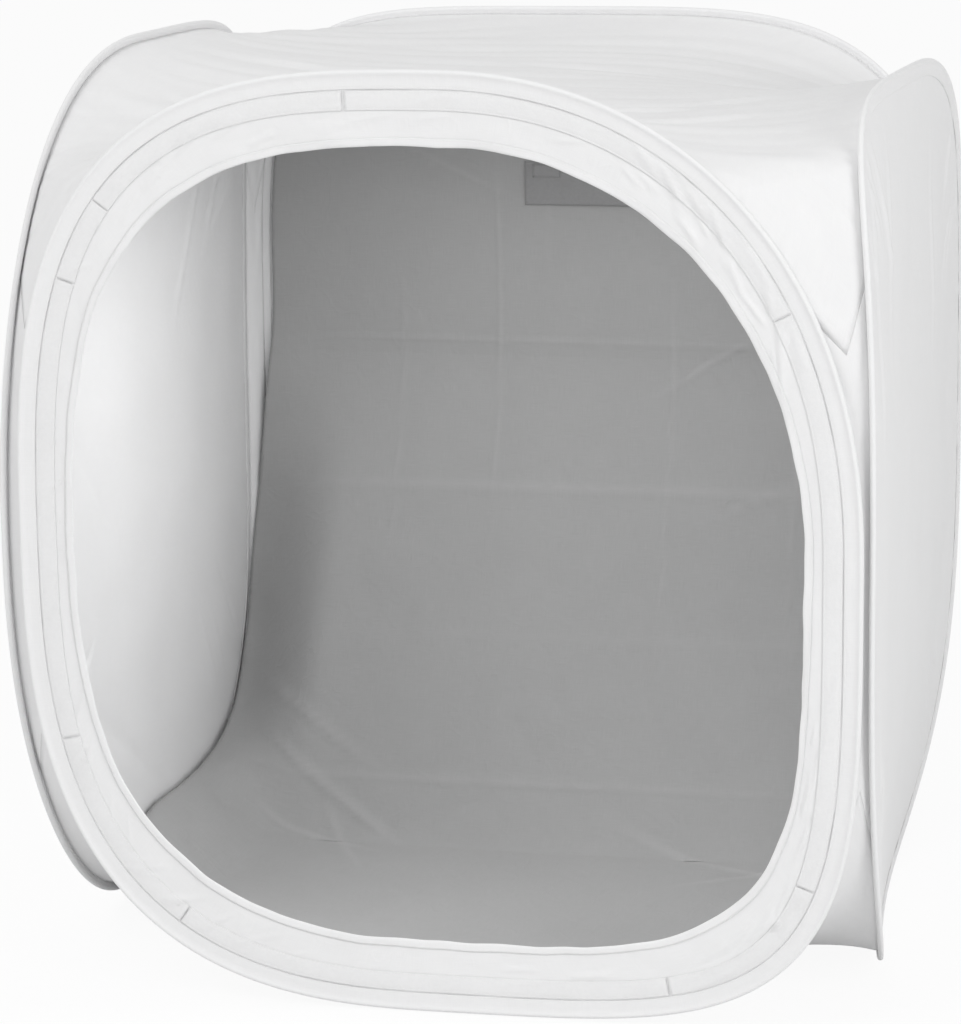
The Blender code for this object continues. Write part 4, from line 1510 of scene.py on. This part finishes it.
@dataclass
class StretchedCloth:
    """The top or the floor: cloth stretched between the upper or the lower arcs of the loops.

    Attributes:
        upper: True for the top.
        name: Object name.
        node: The node it stands for.
        sag: How far a point of the model's own grid hangs below its neighbours' mean.
        folds: Folds in world x and y.
        gather: Height of the gathers at the seams.
        ripple: Height of the streaks that run across.
        seed: Seed of the unevenness.
        gather_start: Share of the way from a seam over which the gathers rise.
        gather_reach: Share of the way over which they die away.
        ripple_start: Share of the way from a seam over which the streaks rise.
        fold_start: The same for the folds.
        facets: Shares of the neighbouring arcs that each corner's straight facet spans, from the
            front left corner round to the right and back.
        levels: Points a side of the grids on which it is worked out, from coarse to fine.
        rounds: How often each grid is evened out.
        free_rounds: How many of the last rounds leave the facets' rims to even out.
        free_share: Share of each facet that stays straight then.
        cut_share: Side of the square it is cut from, over a loop's height and width together.
    """

    upper: bool
    name: str
    node: str
    sag: float
    folds: list[Fold]
    gather: float
    ripple: float
    seed: int
    gather_start: float = 0.012
    gather_reach: float = 0.045
    ripple_start: float = 0.10
    fold_start: float = 0.02
    facets: tuple[tuple[float, float], ...] = ()
    levels: tuple[int, ...] = (19, 37, 73, 145)
    rounds: int = 400
    free_rounds: int = 12
    free_share: float = 0.90
    cut_share: float = 0.62

    def boundary(self, count: int) -> list[Array]:
        """Return the cloth's edges on the front, right, back and left loops.

        Args:
            count: Points of each edge.

        Returns:
            The edges, each from left to right or from front to back.
        """
        start = TENT.seam_end_steps
        step = np.linspace(start, TENT.loop_steps / 2 - start, count)
        if not self.upper:
            step = -step
        edges = []
        for loop in LOOPS.values():
            edges.append(loop.place(loop.edge(step, TENT.seam_inset), TENT.seam_face))
        front, right, back, left = edges
        front, right = front[::-1], right[::-1]
        corners = [front[0] + left[0], front[-1] + right[0], right[-1] + back[-1], back[0] + left[-1]]
        corners = [corner / 2 for corner in corners]
        ends = ((front, 0, 1), (right, 1, 2), (back, 3, 2), (left, 0, 3))
        cut = (count - 1) // (self.levels[0] - 1)
        share = np.arange(cut)[:, None] / cut
        for edge, first, last in ends:
            edge[:cut] = corners[first] + (edge[cut] - corners[first]) * share
            edge[-cut:] = corners[last] + (edge[-cut - 1] - corners[last]) * share[::-1]
            edge[-1] = corners[last]
        return [front, right, back, left]

    def tighten(self, points: Array, edges: list[Array], reach: float) -> Array:
        """Pull the corners of the cloth straight between the loops.

        Args:
            points: The grid's points.
            edges: The cloth's edges.
            reach: Share of each facet that is straight.

        Returns:
            True where a point is held.
        """
        front, right, back, left = edges
        count = len(points)
        s, t = np.meshgrid(np.linspace(0.0, 1.0, count), np.linspace(0.0, 1.0, count))
        held = np.zeros((count, count), bool)
        corners = (
            (s, t, front, left),
            (1 - s, t, front[::-1], right),
            (1 - s, 1 - t, back[::-1], right[::-1]),
            (s, 1 - t, back, left[::-1]),
        )
        spots = np.linspace(0.0, 1.0, count)
        for (across, along), (here_s, here_t, arc_s, arc_t) in zip(self.facets, corners):
            ring = here_s / across + here_t / along
            inside = (ring <= reach) & (ring > 0)
            share = (here_s[inside] / across / ring[inside])[:, None]
            first = between(across * ring[inside], spots, arc_s)
            second = between(along * ring[inside], spots, arc_t)
            points[inside] = first * share + second * (1 - share)
            held |= inside
        return held

    def relaxed(self) -> Array:
        """Return the stretched surface's points, worked out from coarse to fine."""
        points = None
        for count in self.levels:
            edges = self.boundary(count)
            front, right, back, left = edges
            s = np.linspace(0.0, 1.0, count)[None, :, None]
            t = np.linspace(0.0, 1.0, count)[:, None, None]
            corners = (front[0], front[-1], back[-1], back[0])
            if points is None:
                points = front[None] * (1 - t) + back[None] * t
                points = points + left[:, None] * (1 - s) + right[:, None] * s
                points = points - (corners[0] * (1 - s) + corners[1] * s) * (1 - t)
                points = points - (corners[3] * (1 - s) + corners[2] * s) * t
            else:
                points = self.refined(points)
            points[0] = front
            points[-1] = back
            points[:, 0] = left
            points[:, -1] = right
            held = self.tighten(points, edges, 1.0)[1:-1, 1:-1, None]
            fall = self.sag * ((self.levels[0] - 1) / (count - 1)) ** 2
            for turn in range(self.rounds):
                if count == self.levels[-1] and turn == self.rounds - self.free_rounds:
                    held = self.tighten(points, edges, self.free_share)[1:-1, 1:-1, None]
                mean = (points[:-2, 1:-1] + points[2:, 1:-1] + points[1:-1, :-2] + points[1:-1, 2:]) / 4
                mean[..., 2] = np.maximum(mean[..., 2] - fall, 0.0)
                points[1:-1, 1:-1] = np.where(held, points[1:-1, 1:-1], mean)
        return points

    @staticmethod
    def refined(points: Array) -> Array:
        """Return a grid with a point added between each two."""
        rows, columns = points.shape[:2]
        fine = np.empty((2 * rows - 1, 2 * columns - 1, 3))
        fine[::2, ::2] = points
        fine[1::2, ::2] = (points[1:] + points[:-1]) / 2
        fine[:, 1::2] = (fine[:, 2::2] + fine[:, :-2:2]) / 2
        return fine

    def height(self, points: Array) -> Array:
        """Return the height of folds, gathers and streaks over the surface."""
        count = len(points)
        s = np.linspace(0.0, 1.0, count)[None, :]
        t = np.linspace(0.0, 1.0, count)[:, None]
        near = np.minimum(np.minimum(s, 1 - s), np.minimum(t, 1 - t))
        noise = SoftNoise(self.seed)
        gathers = np.zeros((count, count))
        for along, away in ((s, t), (s, 1 - t), (t, s), (t, 1 - s)):
            wave = noise.at(along * 62 + 3.0 * away, away * 5.0 + 2.0)
            gathers = gathers + wave * smooth(away / self.gather_start) * np.exp(-away / self.gather_reach)
        x = points[..., 0]
        y = points[..., 1]
        streaks = noise.at(x / 0.42, (y - 0.05 * np.sin(x * 5.0)) / 0.026)
        streaks = streaks + 0.6 * noise.at(x / 0.30 + 6.0, y / 0.052 + 2.0)
        free = smooth(near / self.ripple_start)
        total = self.gather * gathers + self.ripple * free * streaks
        return total + smooth(near / self.fold_start) * folded(self.folds, x, y)

    def make(self, wardrobe: Wardrobe) -> bpy.types.Object:
        """Make the cloth and return it."""
        points = self.relaxed()
        count = len(points)
        scale = np.linspace(0.0, TENT.loop_width, count)
        grid = ClothGrid(points, np.stack(np.meshgrid(scale, scale), axis=-1))
        height = self.height(points)
        if not self.upper:
            height = np.abs(height)
        raised = grid.raised(height)
        if not self.upper:
            raised.points[..., 2] = np.maximum(raised.points[..., 2], 0.0)
        cloth = raised.build(self.name, TENT.cloth, 0.0 if self.upper else 1.0)
        wardrobe.fit(cloth, Slot.WHITE_CLOTH, self.node, "back")
        side = (LOOPS[Side.FRONT].height + TENT.loop_width) * self.cut_share
        min(raised.area(), side * side)
        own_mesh(cloth)
        return cloth


@dataclass
class CornerWeb:
    """The cloth that joins two neighbouring sleeves along their seam.

    Attributes:
        first: The side whose right edge is at the seam.
        second: The side whose left edge is at the seam.
        seed: Seed of the folds.
        end_share: Share of the seam that it covers.
        rows: Points along the seam.
        columns: Points across.
        tuck: How far it is drawn in between the sleeves.
        tuck_share: The most that it is drawn in, over its width.
        gather: Height of its folds.
        gather_width: Width at which the folds have that height.
        end_fade: Way from its ends over which the folds rise.
        least_share: The least area it is cut as, over its width times its length. Not used.
    """

    first: Loop
    second: Loop
    seed: int
    end_share: float = 0.9995
    rows: int = 145
    columns: int = 9
    tuck: float = 0.004
    tuck_share: float = 0.12
    gather: float = 0.0016
    gather_width: float = 0.05
    end_fade: float = 0.08
    least_share: float = 0.31

    def reach(self, step: Array, first: bool) -> Array:
        """Return points of a sleeve's inner face at steps from the seam's middle."""
        loop = self.first if first else self.second
        at = step if first else TENT.loop_steps / 2 - step
        return loop.place(loop.edge(at, TENT.seam_inset), TENT.seam_face)

    def make(self, wardrobe: Wardrobe) -> None:
        """Make the web."""
        ends = TENT.seam_end_steps
        middle = np.linspace(-ends, ends, self.rows)
        side = middle * (ends + 1) / ends * self.end_share
        middle = middle * self.end_share
        edges = [self.reach(side, True), self.reach(side, False)]
        ridge = (self.reach(middle, True) + self.reach(middle, False)) / 2
        across = np.linspace(-1.0, 1.0, self.columns)
        points = np.empty((self.rows, self.columns, 3))
        for column, share in enumerate(across):
            edge = edges[0] if share < 0 else edges[1]
            points[:, column] = ridge + (edge - ridge) * abs(share)
        length = run_of(ridge)
        total = float(length[-1])
        spread = np.linalg.norm(edges[0] - edges[1], axis=1)[:, None]
        flat = np.stack([across[None] * spread / 2, length[:, None] + 0 * across[None]], axis=-1)
        wave = SoftNoise(self.seed).at(length[:, None] / 0.035, across[None] * 0.8 + 3.0)
        tuck = np.minimum(self.tuck, spread * self.tuck_share)
        fold = self.gather * wave * smooth(spread / self.gather_width)
        rise = smooth(np.minimum(length, total - length) / self.end_fade)[:, None]
        depth = (1.0 - across[None] ** 2) * (tuck + fold) * rise
        points[..., :2] += unit(-points[..., :2]) * depth[..., None]
        grid = ClothGrid(points, flat)
        seam = f"{self.first.side.body}_{self.second.side.body}"
        web = grid.build(f"{seam}_web_cloth", TENT.cloth)
        wardrobe.dress(web, Slot.WHITE_CLOTH)
        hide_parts(f"{seam}_corner_web")
        self.hang(web)

    def hang(self, web: bpy.types.Object) -> None:
        """Let the web between the front and the right side ride the front, and fix the others where they
        stand.
        """
        first = self.first.side
        second = self.second.side
        if {first, second} == {Side.FRONT, Side.RIGHT}:
            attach(web, "front")
            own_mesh(web)
            return
        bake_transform(web)


@dataclass(frozen=True)
class Strip:
    """A strip that follows the back panel.

    Attributes:
        name: Object name.
        node: The node it stands for.
        slot: Its finish.
        centre: World x of its middle.
        width: Length across.
        low: Height of its lower edge.
        high: Height of its upper edge.
        depth: How far inside the back panel its middle lies.
        thickness: Thickness of the strip.
        column_size: Distance of its points across.
        row_size: Distance of its points in height.
        waviness: Height of its unevenness.
        seed: Seed of the unevenness.
    """

    name: str
    node: str
    slot: Slot
    centre: float
    width: float
    low: float
    high: float
    depth: float
    thickness: float
    column_size: float = 0.004
    row_size: float = 0.003
    waviness: float = 0.00012
    seed: int = 71

    def make(self, wardrobe: Wardrobe) -> None:
        """Make the strip."""
        back = LOOPS[Side.BACK]
        columns = max(12, round(self.width / self.column_size))
        rows = max(6, round((self.high - self.low) / self.row_size))
        reach = np.linspace(self.width / 2, -self.width / 2, columns) + self.centre
        x, z = np.meshgrid(reach, np.linspace(self.low, self.high, rows))
        local = np.stack([-x, z - back.half_height], axis=-1)
        wave = self.waviness * SoftNoise(self.seed + columns).at(x / 0.02, z / 0.02)
        grid = ClothGrid(back.place(local, wave - self.depth), np.stack([x, z], axis=-1))
        piece = grid.build(self.name, self.thickness)
        wardrobe.fit(piece, self.slot, self.node, "back")


@dataclass
class Backdrop:
    """The grey cloth that hangs down the back and sweeps onto the floor, with its strips.

    Attributes:
        top: Height of its upper edge.
        sweep_height: Height at which it leaves the back.
        sweep_depth: How far forward the sweep reaches.
        sweep_power: Squareness of the sweep.
        edge_start: Distance from the middle at which the edges start to curl up the sides.
        edge_path: The way of the curled edges down the back and along the sides, as reach, y and z.
        edge_blend: Way over which that path's bends are evened out, to each side.
        front: How far forward it lies.
        edge_lift: Way forward over which its edges come free of the back's arc.
        edge_gap: Gap between its edges and the sides.
        strip_half_length: Half the length of the strips that it hangs from.
        strip_height: Height of those strips.
        strip_thickness: Thickness of every strip with its pile.
        strip_play: How much thinner the strips are made, for their unevenness.
        cloth_gap: Gap between one layer and the next.
        patch_width: Width of the flap.
        patch_height: Height of the flap.
        patch_centre: World x of the flap's middle.
        patch_drop: Drop from the upper edge to the flap's lower edge.
        patch_gap: Further gap behind the flap.
        tab_width: Width of the flap's tab.
        tab_height: Height of the tab.
        tab_centre: World x of the tab's middle.
        tab_drop: Drop from the upper edge to the tab's lower edge.
        rest_reach: Height below which it may lie on the floor cloth.
        rest_gap: Gap over the floor cloth.
        rest_blend: Height over which it comes to rest.
        rest_lift: How far it is lifted besides.
        waviness: Height of the unevenness where it hangs.
        loose_waviness: How much more there is where it lies.
        waves: Layers of the unevenness.
        columns: Points across.
        rows: Points down its hanging part, its sweep and its lying part.
        seed: Seed of the unevenness.
    """

    top: float = 0.860
    sweep_height: float = 0.560
    sweep_depth: float = 0.340
    sweep_power: float = 1.3
    edge_start: float = 0.320
    edge_path: tuple[tuple[float, float, float], ...] = (
        (0.425, 0.447, 0.860),
        (0.425, 0.447, 0.600),
        (0.435, 0.438, 0.510),
        (0.442, 0.436, 0.427),
        (0.449, 0.435, 0.362),
        (0.456, 0.427, 0.282),
        (0.458, 0.404, 0.207),
        (0.458, 0.376, 0.158),
        (0.458, 0.358, 0.124),
        (0.458, 0.329, 0.104),
        (0.458, 0.295, 0.088),
        (0.458, 0.236, 0.075),
        (0.458, 0.147, 0.070),
        (0.458, 0.062, 0.073),
        (0.458, -0.022, 0.077),
        (0.456, -0.230, 0.050),
        (0.440, -0.400, 0.020),
    )
    edge_blend: float = 0.03
    front: float = 0.410
    edge_lift: float = 0.012
    edge_gap: float = 0.0040
    strip_half_length: float = 0.330
    strip_height: float = 0.025
    strip_thickness: float = 0.0010
    strip_play: float = 0.0002
    cloth_gap: float = 0.00025
    patch_width: float = 0.150
    patch_height: float = 0.055
    patch_centre: float = -0.015
    patch_drop: float = 0.109
    patch_gap: float = 0.0035
    tab_width: float = 0.035
    tab_height: float = 0.016
    tab_centre: float = -0.062
    tab_drop: float = 0.074
    rest_reach: float = 0.35
    rest_gap: float = 0.0016
    rest_blend: float = 0.006
    rest_lift: float = 0.0004
    waviness: float = 0.0008
    loose_waviness: float = 0.0026
    waves: tuple[tuple[float, ...], ...] = ((1.0, 0.13, 0.16, 0.0, 0.0), (0.5, 0.06, 0.07, 3.0, 8.0))
    columns: int = 181
    rows: tuple[int, int, int] = (75, 89, 110)
    seed: int = 71

    def path(self) -> tuple[Array, Array, Array, Array]:
        """Return the path down the middle: y, z, share of the back's shape, and length along it."""
        back_y = TENT.loop_plane - self.hang_depth()
        hanging_rows, sweep_rows, floor_rows = self.rows
        hanging = np.linspace(self.top, self.sweep_height, hanging_rows + 1)[:-1]
        turn = np.linspace(0.0, math.pi / 2, sweep_rows + 1)[:-1]
        power = 2 / self.sweep_power
        forward = 1 - np.cos(turn) ** power
        fall = 1 - np.sin(turn) ** power
        floor = np.linspace(back_y - self.sweep_depth, -self.front, floor_rows)
        y = np.concatenate([np.full(hanging.shape, back_y), back_y - self.sweep_depth * forward, floor])
        z = np.concatenate([hanging, self.sweep_height * fall, np.zeros(floor.shape)])
        share = np.concatenate([np.ones(hanging.shape), 1 - turn / (math.pi / 2), np.zeros(floor.shape)])
        return y, z, share, run_of(np.stack([y, z], axis=-1))

    def hang_depth(self) -> float:
        """Return how far in front of the back panel the sheet's back hangs."""
        return TENT.cloth / 2 + 3 * self.cloth_gap + 2 * self.strip_thickness + TENT.cloth / 2

    def reaches(self, wide: Array, y: Array, z: Array) -> tuple[Array, Array]:
        """Return how far the sheet reaches to the right and to the left where its edges run."""
        back = LOOPS[Side.BACK]
        hung = np.clip((z - back.half_height) / back.half_height, -0.999, 0.999)
        free = smooth((y[0] - y) / self.edge_lift)
        reaches = []
        for side, sign, corner in ((Side.RIGHT, 1.0, (1, 2)), (Side.LEFT, -1.0, (0, 3))):
            loop = LOOPS[side]
            local = np.stack([y * sign, z - loop.half_height], axis=-1)
            face = np.abs(loop.place(local, 0.0)[..., 0])
            power = np.where(hung > 0, back.squareness[corner[0]], back.squareness[corner[1]])
            arc = TENT.half_width * (1 - np.abs(hung) ** power) ** (1 / power)
            arc = arc - TENT.sleeve_width - self.edge_gap + TENT.half_width * free
            reaches.append(np.minimum(wide, np.minimum(face - TENT.tail_face - self.edge_gap, arc)))
        return reaches[0], reaches[1]

    def make(self, floor: bpy.types.Object, wardrobe: Wardrobe) -> None:
        """Make the sheet and what it hangs from."""
        y, z, share, length = self.path()
        edge_x, edge_y, edge_z = self.edges(length)
        edge_y = np.minimum(edge_y, y[0])
        right, left = self.reaches(edge_x, edge_y, edge_z)
        across = np.linspace(0.0, 1.0, self.columns)[None]
        x = right[:, None] - (right + left)[:, None] * across
        rim_x = np.where(x > 0, right[:, None], left[:, None])
        near = smooth((np.abs(x) - self.edge_start) / (rim_x - self.edge_start))
        deep_y = y[:, None] + (edge_y - y)[:, None] * near + self.back_shape(x, z) * share[:, None]
        points = np.stack([x, deep_y, z[:, None] + (edge_z - z)[:, None] * near], axis=-1)
        down = length[:, None] + 0 * x
        creases = folded(STORAGE_FOLDS, x, down)
        uneven = SoftNoise(self.seed).layered(x, down, self.waves)
        free = smooth((1 - share) / 0.6)[:, None]
        height = np.abs(creases + (self.waviness + self.loose_waviness * free) * np.abs(uneven))
        grid = ClothGrid(points, np.stack([x, down], axis=-1)).raised(height)
        self.rest(grid, floor)
        LOG.info("backdrop: %.3f to %.3f m across", *np.sort(right + left)[[0, -1]])
        # The folds' height, scaled to 1, lightens the grey cloth on the ridges and darkens it in the
        # furrows: painted highlight and shade, with rubbed pile on the ridges.
        sheet = grid.build("backdrop_cloth", TENT.cloth, 1.0, creases / np.abs(creases).max())
        wardrobe.fit(sheet, Slot.GREY_CLOTH, "backdrop_sheet", "back")
        total = float(length[-1])
        cut = (grid.area() / total, total)
        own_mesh(sheet)
        self.make_strips(wardrobe)

    def edges(self, length: Array) -> Array:
        """Return the curled edges' reach, y and z at lengths down the middle."""
        rim = np.array(self.edge_path)
        way = run_of(rim[:, 1:])
        at = length / length[-1] * way[-1]
        spread = at + np.linspace(-self.edge_blend, self.edge_blend, 13)[:, None]
        return between(spread, way, rim).mean(axis=0).T

    @staticmethod
    def back_shape(x: Array, z: Array) -> Array:
        """Return how far the back panel's surface lies behind its middle line."""
        back = LOOPS[Side.BACK]
        local = np.stack([-x, (z - back.half_height)[:, None] + 0 * x], axis=-1)
        middle = local * (0.0, 1.0)
        return back.place(local, 0.0)[..., 1] - back.place(middle, 0.0)[..., 1]

    def rest(self, grid: ClothGrid, floor: bpy.types.Object) -> None:
        """Lift the sheet clear of the floor cloth."""
        bpy.context.view_layer.update()
        ground = BVHTree.FromObject(floor, bpy.context.evaluated_depsgraph_get())
        heights = np.zeros(grid.points.shape[:2])
        for row, column in np.argwhere(grid.points[..., 2] < self.rest_reach):
            x, y, _ = grid.points[row, column]
            hit = ground.ray_cast(Vector((x, y, self.rest_reach)), Vector((0, 0, -1)))[0]
            heights[row, column] = hit.z if hit else 0.0
        low = self.widened(heights) + self.rest_gap
        gap = grid.points[..., 2] - low
        soft = self.rest_blend
        grid.points[..., 2] = low + (gap + np.sqrt(gap * gap + soft * soft)) / 2 - soft / 2 + self.rest_lift

    @staticmethod
    def widened(heights: Array) -> Array:
        """Return the greatest height within two points of each, both ways."""
        for axis in (0, 1):
            shifted = [np.roll(heights, shift, axis=axis) for shift in range(-2, 3)]
            spread = np.maximum.reduce(shifted)
            edge = [slice(None), slice(None)]
            for strip in (slice(0, 2), slice(-2, None)):
                edge[axis] = strip
                spread[tuple(edge)] = heights[tuple(edge)]
            heights = spread
        return heights

    def make_strips(self, wardrobe: Wardrobe) -> None:
        """Make the hook and loop strips, the flap and its tab."""
        thick = self.strip_thickness
        hook_depth = TENT.cloth / 2 + self.cloth_gap + thick / 2
        loop_depth = hook_depth + thick + self.cloth_gap
        flap_depth = loop_depth + thick / 2 + self.cloth_gap + TENT.cloth + self.cloth_gap
        flap_depth = flap_depth + thick / 2 + self.patch_gap
        flap_low = self.top - self.patch_drop
        tab_low = self.top - self.tab_drop
        hooks = Strip(
            name="backdrop_hooks",
            node="backdrop_hook_strip",
            slot=Slot.WHITE_TAPE,
            centre=0.0,
            width=2 * self.strip_half_length,
            low=self.top - self.strip_height,
            high=self.top,
            depth=hook_depth,
            thickness=thick - self.strip_play,
            seed=self.seed,
        )
        loops = replace(
            hooks, name="backdrop_loops", node="backdrop_loop_strip", slot=Slot.GREY_TAPE, depth=loop_depth
        )
        flap = replace(
            loops,
            name="backdrop_flap",
            node="backdrop_patch",
            centre=self.patch_centre,
            width=self.patch_width,
            low=flap_low,
            high=flap_low + self.patch_height,
            depth=flap_depth,
        )
        tab = replace(
            loops,
            name="backdrop_flap_tab",
            node="backdrop_tab",
            centre=self.tab_centre,
            width=self.tab_width,
            low=tab_low,
            high=tab_low + self.tab_height,
            depth=flap_depth + thick + self.cloth_gap,
        )
        for strip in (hooks, loops, flap, tab):
            strip.make(wardrobe)


@dataclass(frozen=True)
class Lamp:
    """A soft studio lamp.

    Attributes:
        name: Object name.
        place: Where it stands.
        aim: What it points at.
        size: Side of its square face.
        power: Power in watts.
    """

    name: str
    place: tuple[float, float, float]
    aim: tuple[float, float, float]
    size: float
    power: float

    def make(self) -> None:
        """Make the lamp."""
        data = bpy.data.lights.new(self.name, "AREA")
        data.shape = "SQUARE"
        data.size = self.size
        data.energy = self.power
        lamp = add_object(self.name, data)
        lamp.location = self.place
        lamp.visible_camera = False
        lamp.rotation_euler = (Vector(self.aim) - Vector(self.place)).to_track_quat("-Z", "Y").to_euler()


@dataclass
class Studio:
    """The camera, the lamps and the pale ground.

    Attributes:
        lens: Focal length in millimetres.
        sensor: Width of the sensor in millimetres.
        eye: Where the camera stands.
        yaw: Turn of its axis from +Y, to the right.
        pitch: Turn of its axis upward.
        roll: Turn about its axis.
        clip: Nearest and farthest distance that it sees.
        sky: Strength of the even light from all round.
        ground_size: Side of the ground.
        ground_level: Height of the ground.
        ground_glow: Share of the ground that looks plain white to the camera.
        lamps: The lamps.
    """

    lens: float = 129.03
    sensor: float = 36.0
    eye: tuple[float, float, float] = (0.8756, -4.0716, 1.3201)
    yaw: float = -0.2238
    pitch: float = -0.206
    roll: float = -0.012
    clip: tuple[float, float] = (0.05, 200.0)
    sky: float = 0.56
    ground_size: float = 40.0
    ground_level: float = -0.001
    ground_glow: float = 0.93
    lamps: tuple[Lamp, ...] = (
        Lamp("key_softbox", (-1.5, -2.7, 3.3), (0.0, -0.1, 0.35), 1.8, 40.0),
        Lamp("side_softbox", (3.2, -2.4, 1.7), (0.0, 0.0, 0.5), 1.6, 46.0),
        Lamp("top_softbox", (-1.2, -0.4, 3.4), (0.0, 0.0, 0.9), 1.8, 6.0),
        Lamp("light_through_top", (0.0, -0.06, 0.87), (0.0, -0.06, 0.0), 0.50, 2.5),
    )

    def make(self) -> None:
        """Make the whole studio."""
        bpy.context.scene.view_settings.view_transform = "Standard"
        self.make_camera()
        self.make_sky()
        self.make_ground()
        for lamp in self.lamps:
            lamp.make()

    def make_camera(self) -> None:
        """Make the camera."""
        ahead = Vector(
            (
                math.sin(self.yaw) * math.cos(self.pitch),
                math.cos(self.yaw) * math.cos(self.pitch),
                math.sin(self.pitch),
            )
        )
        level = ahead.cross(Vector((0, 0, 1))).normalized()
        raised = level.cross(ahead)
        right = level * math.cos(self.roll) + raised * math.sin(self.roll)
        up = raised * math.cos(self.roll) - level * math.sin(self.roll)
        data = bpy.data.cameras.new("camera")
        data.lens = self.lens
        data.sensor_width = self.sensor
        data.clip_start, data.clip_end = self.clip
        camera = add_object("camera", data)
        turned = Matrix((right, up, -ahead)).transposed().to_4x4()
        camera.matrix_world = Matrix.Translation(self.eye) @ turned
        bpy.context.scene.camera = camera

    def make_sky(self) -> None:
        """Light the scene evenly, and show plain white where nothing stands."""
        world = bpy.data.worlds.new("studio")
        world.use_nodes = True
        tree = NodeTree(world.node_tree)
        white = (1.0, 1.0, 1.0, 1.0)
        light = world.node_tree.nodes["Background"]
        shown = tree.add("Background")
        tree.fill(light, Color=white, Strength=self.sky)
        tree.fill(shown, Color=white, Strength=1.0)
        output = world.node_tree.nodes["World Output"]
        tree.fill(output, Surface=tree.staged(light.outputs[0], shown.outputs[0], 1.0))
        bpy.context.scene.world = world

    def make_ground(self) -> None:
        """Make the pale ground, white to the camera but for the object's shadow."""
        half = self.ground_size / 2
        spots = ((-half, -half), (half, -half), (half, half), (-half, half))
        corners = [(x, y, self.ground_level) for x, y in spots]
        data = bpy.data.meshes.new("ground")
        data.from_pydata(corners, [], [(0, 1, 2, 3)])
        ground = add_object("ground", data)
        paint = bpy.data.materials.new("pale_ground")
        paint.use_nodes = True
        tree = NodeTree(paint.node_tree)
        shader = paint.node_tree.nodes["Principled BSDF"]
        tree.fill(shader, Base_Color=(0.86, 0.86, 0.86, 1.0), Roughness=1.0, Specular_IOR_Level=0.0)
        glow = tree.add("Emission")
        tree.fill(glow, Strength=1.0)
        output = paint.node_tree.nodes["Material Output"]
        tree.fill(output, Surface=tree.staged(shader.outputs[0], glow.outputs[0], self.ground_glow))
        data.materials.append(paint)


def main() -> None:
    """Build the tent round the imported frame."""
    logging.basicConfig(level=logging.INFO, format="%(message)s")
    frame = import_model()
    Studio().make()
    wardrobe = Wardrobe()
    for side, loop in LOOPS.items():
        EdgeSleeve(loop, seed=11 + side.value).make(wardrobe)
        wardrobe.dress(frame["nodes"][f"{side.body}_wire_ferrule"], Slot.SPRING_STEEL)
    for side, folds in PANEL_FOLDS.items():
        pulls = corner_pulls(LOOPS[side], seed=81 + side.value, count=5, height=0.0026)
        SidePanel(LOOPS[side], pulls + folds, seed=21 + side.value).make(wardrobe)
    FrontRing(LOOPS[Side.FRONT]).make(wardrobe)
    top = StretchedCloth(
        upper=True,
        name="top_cloth",
        node="top_panel",
        sag=0.00012,
        folds=TOP_FOLDS,
        gather=0.0028,
        ripple=0.0030,
        seed=41,
        facets=((0.20, 0.24), (0.27, 0.20), (0.16, 0.18), (0.30, 0.30)),
    )
    top.make(wardrobe)
    floor = StretchedCloth(
        upper=False,
        name="floor_cloth",
        node="floor_panel",
        sag=0.0012,
        folds=[],
        gather=0.0012,
        ripple=0.0006,
        seed=42,
    )
    floor_cloth = floor.make(wardrobe)
    loops = list(LOOPS.values())
    for number, (first, second) in enumerate(zip(loops, loops[1:] + loops[:1])):
        CornerWeb(first, second, seed=51 + number).make(wardrobe)
    Backdrop().make(floor_cloth, wardrobe)


if __name__ == "__main__":
    main()
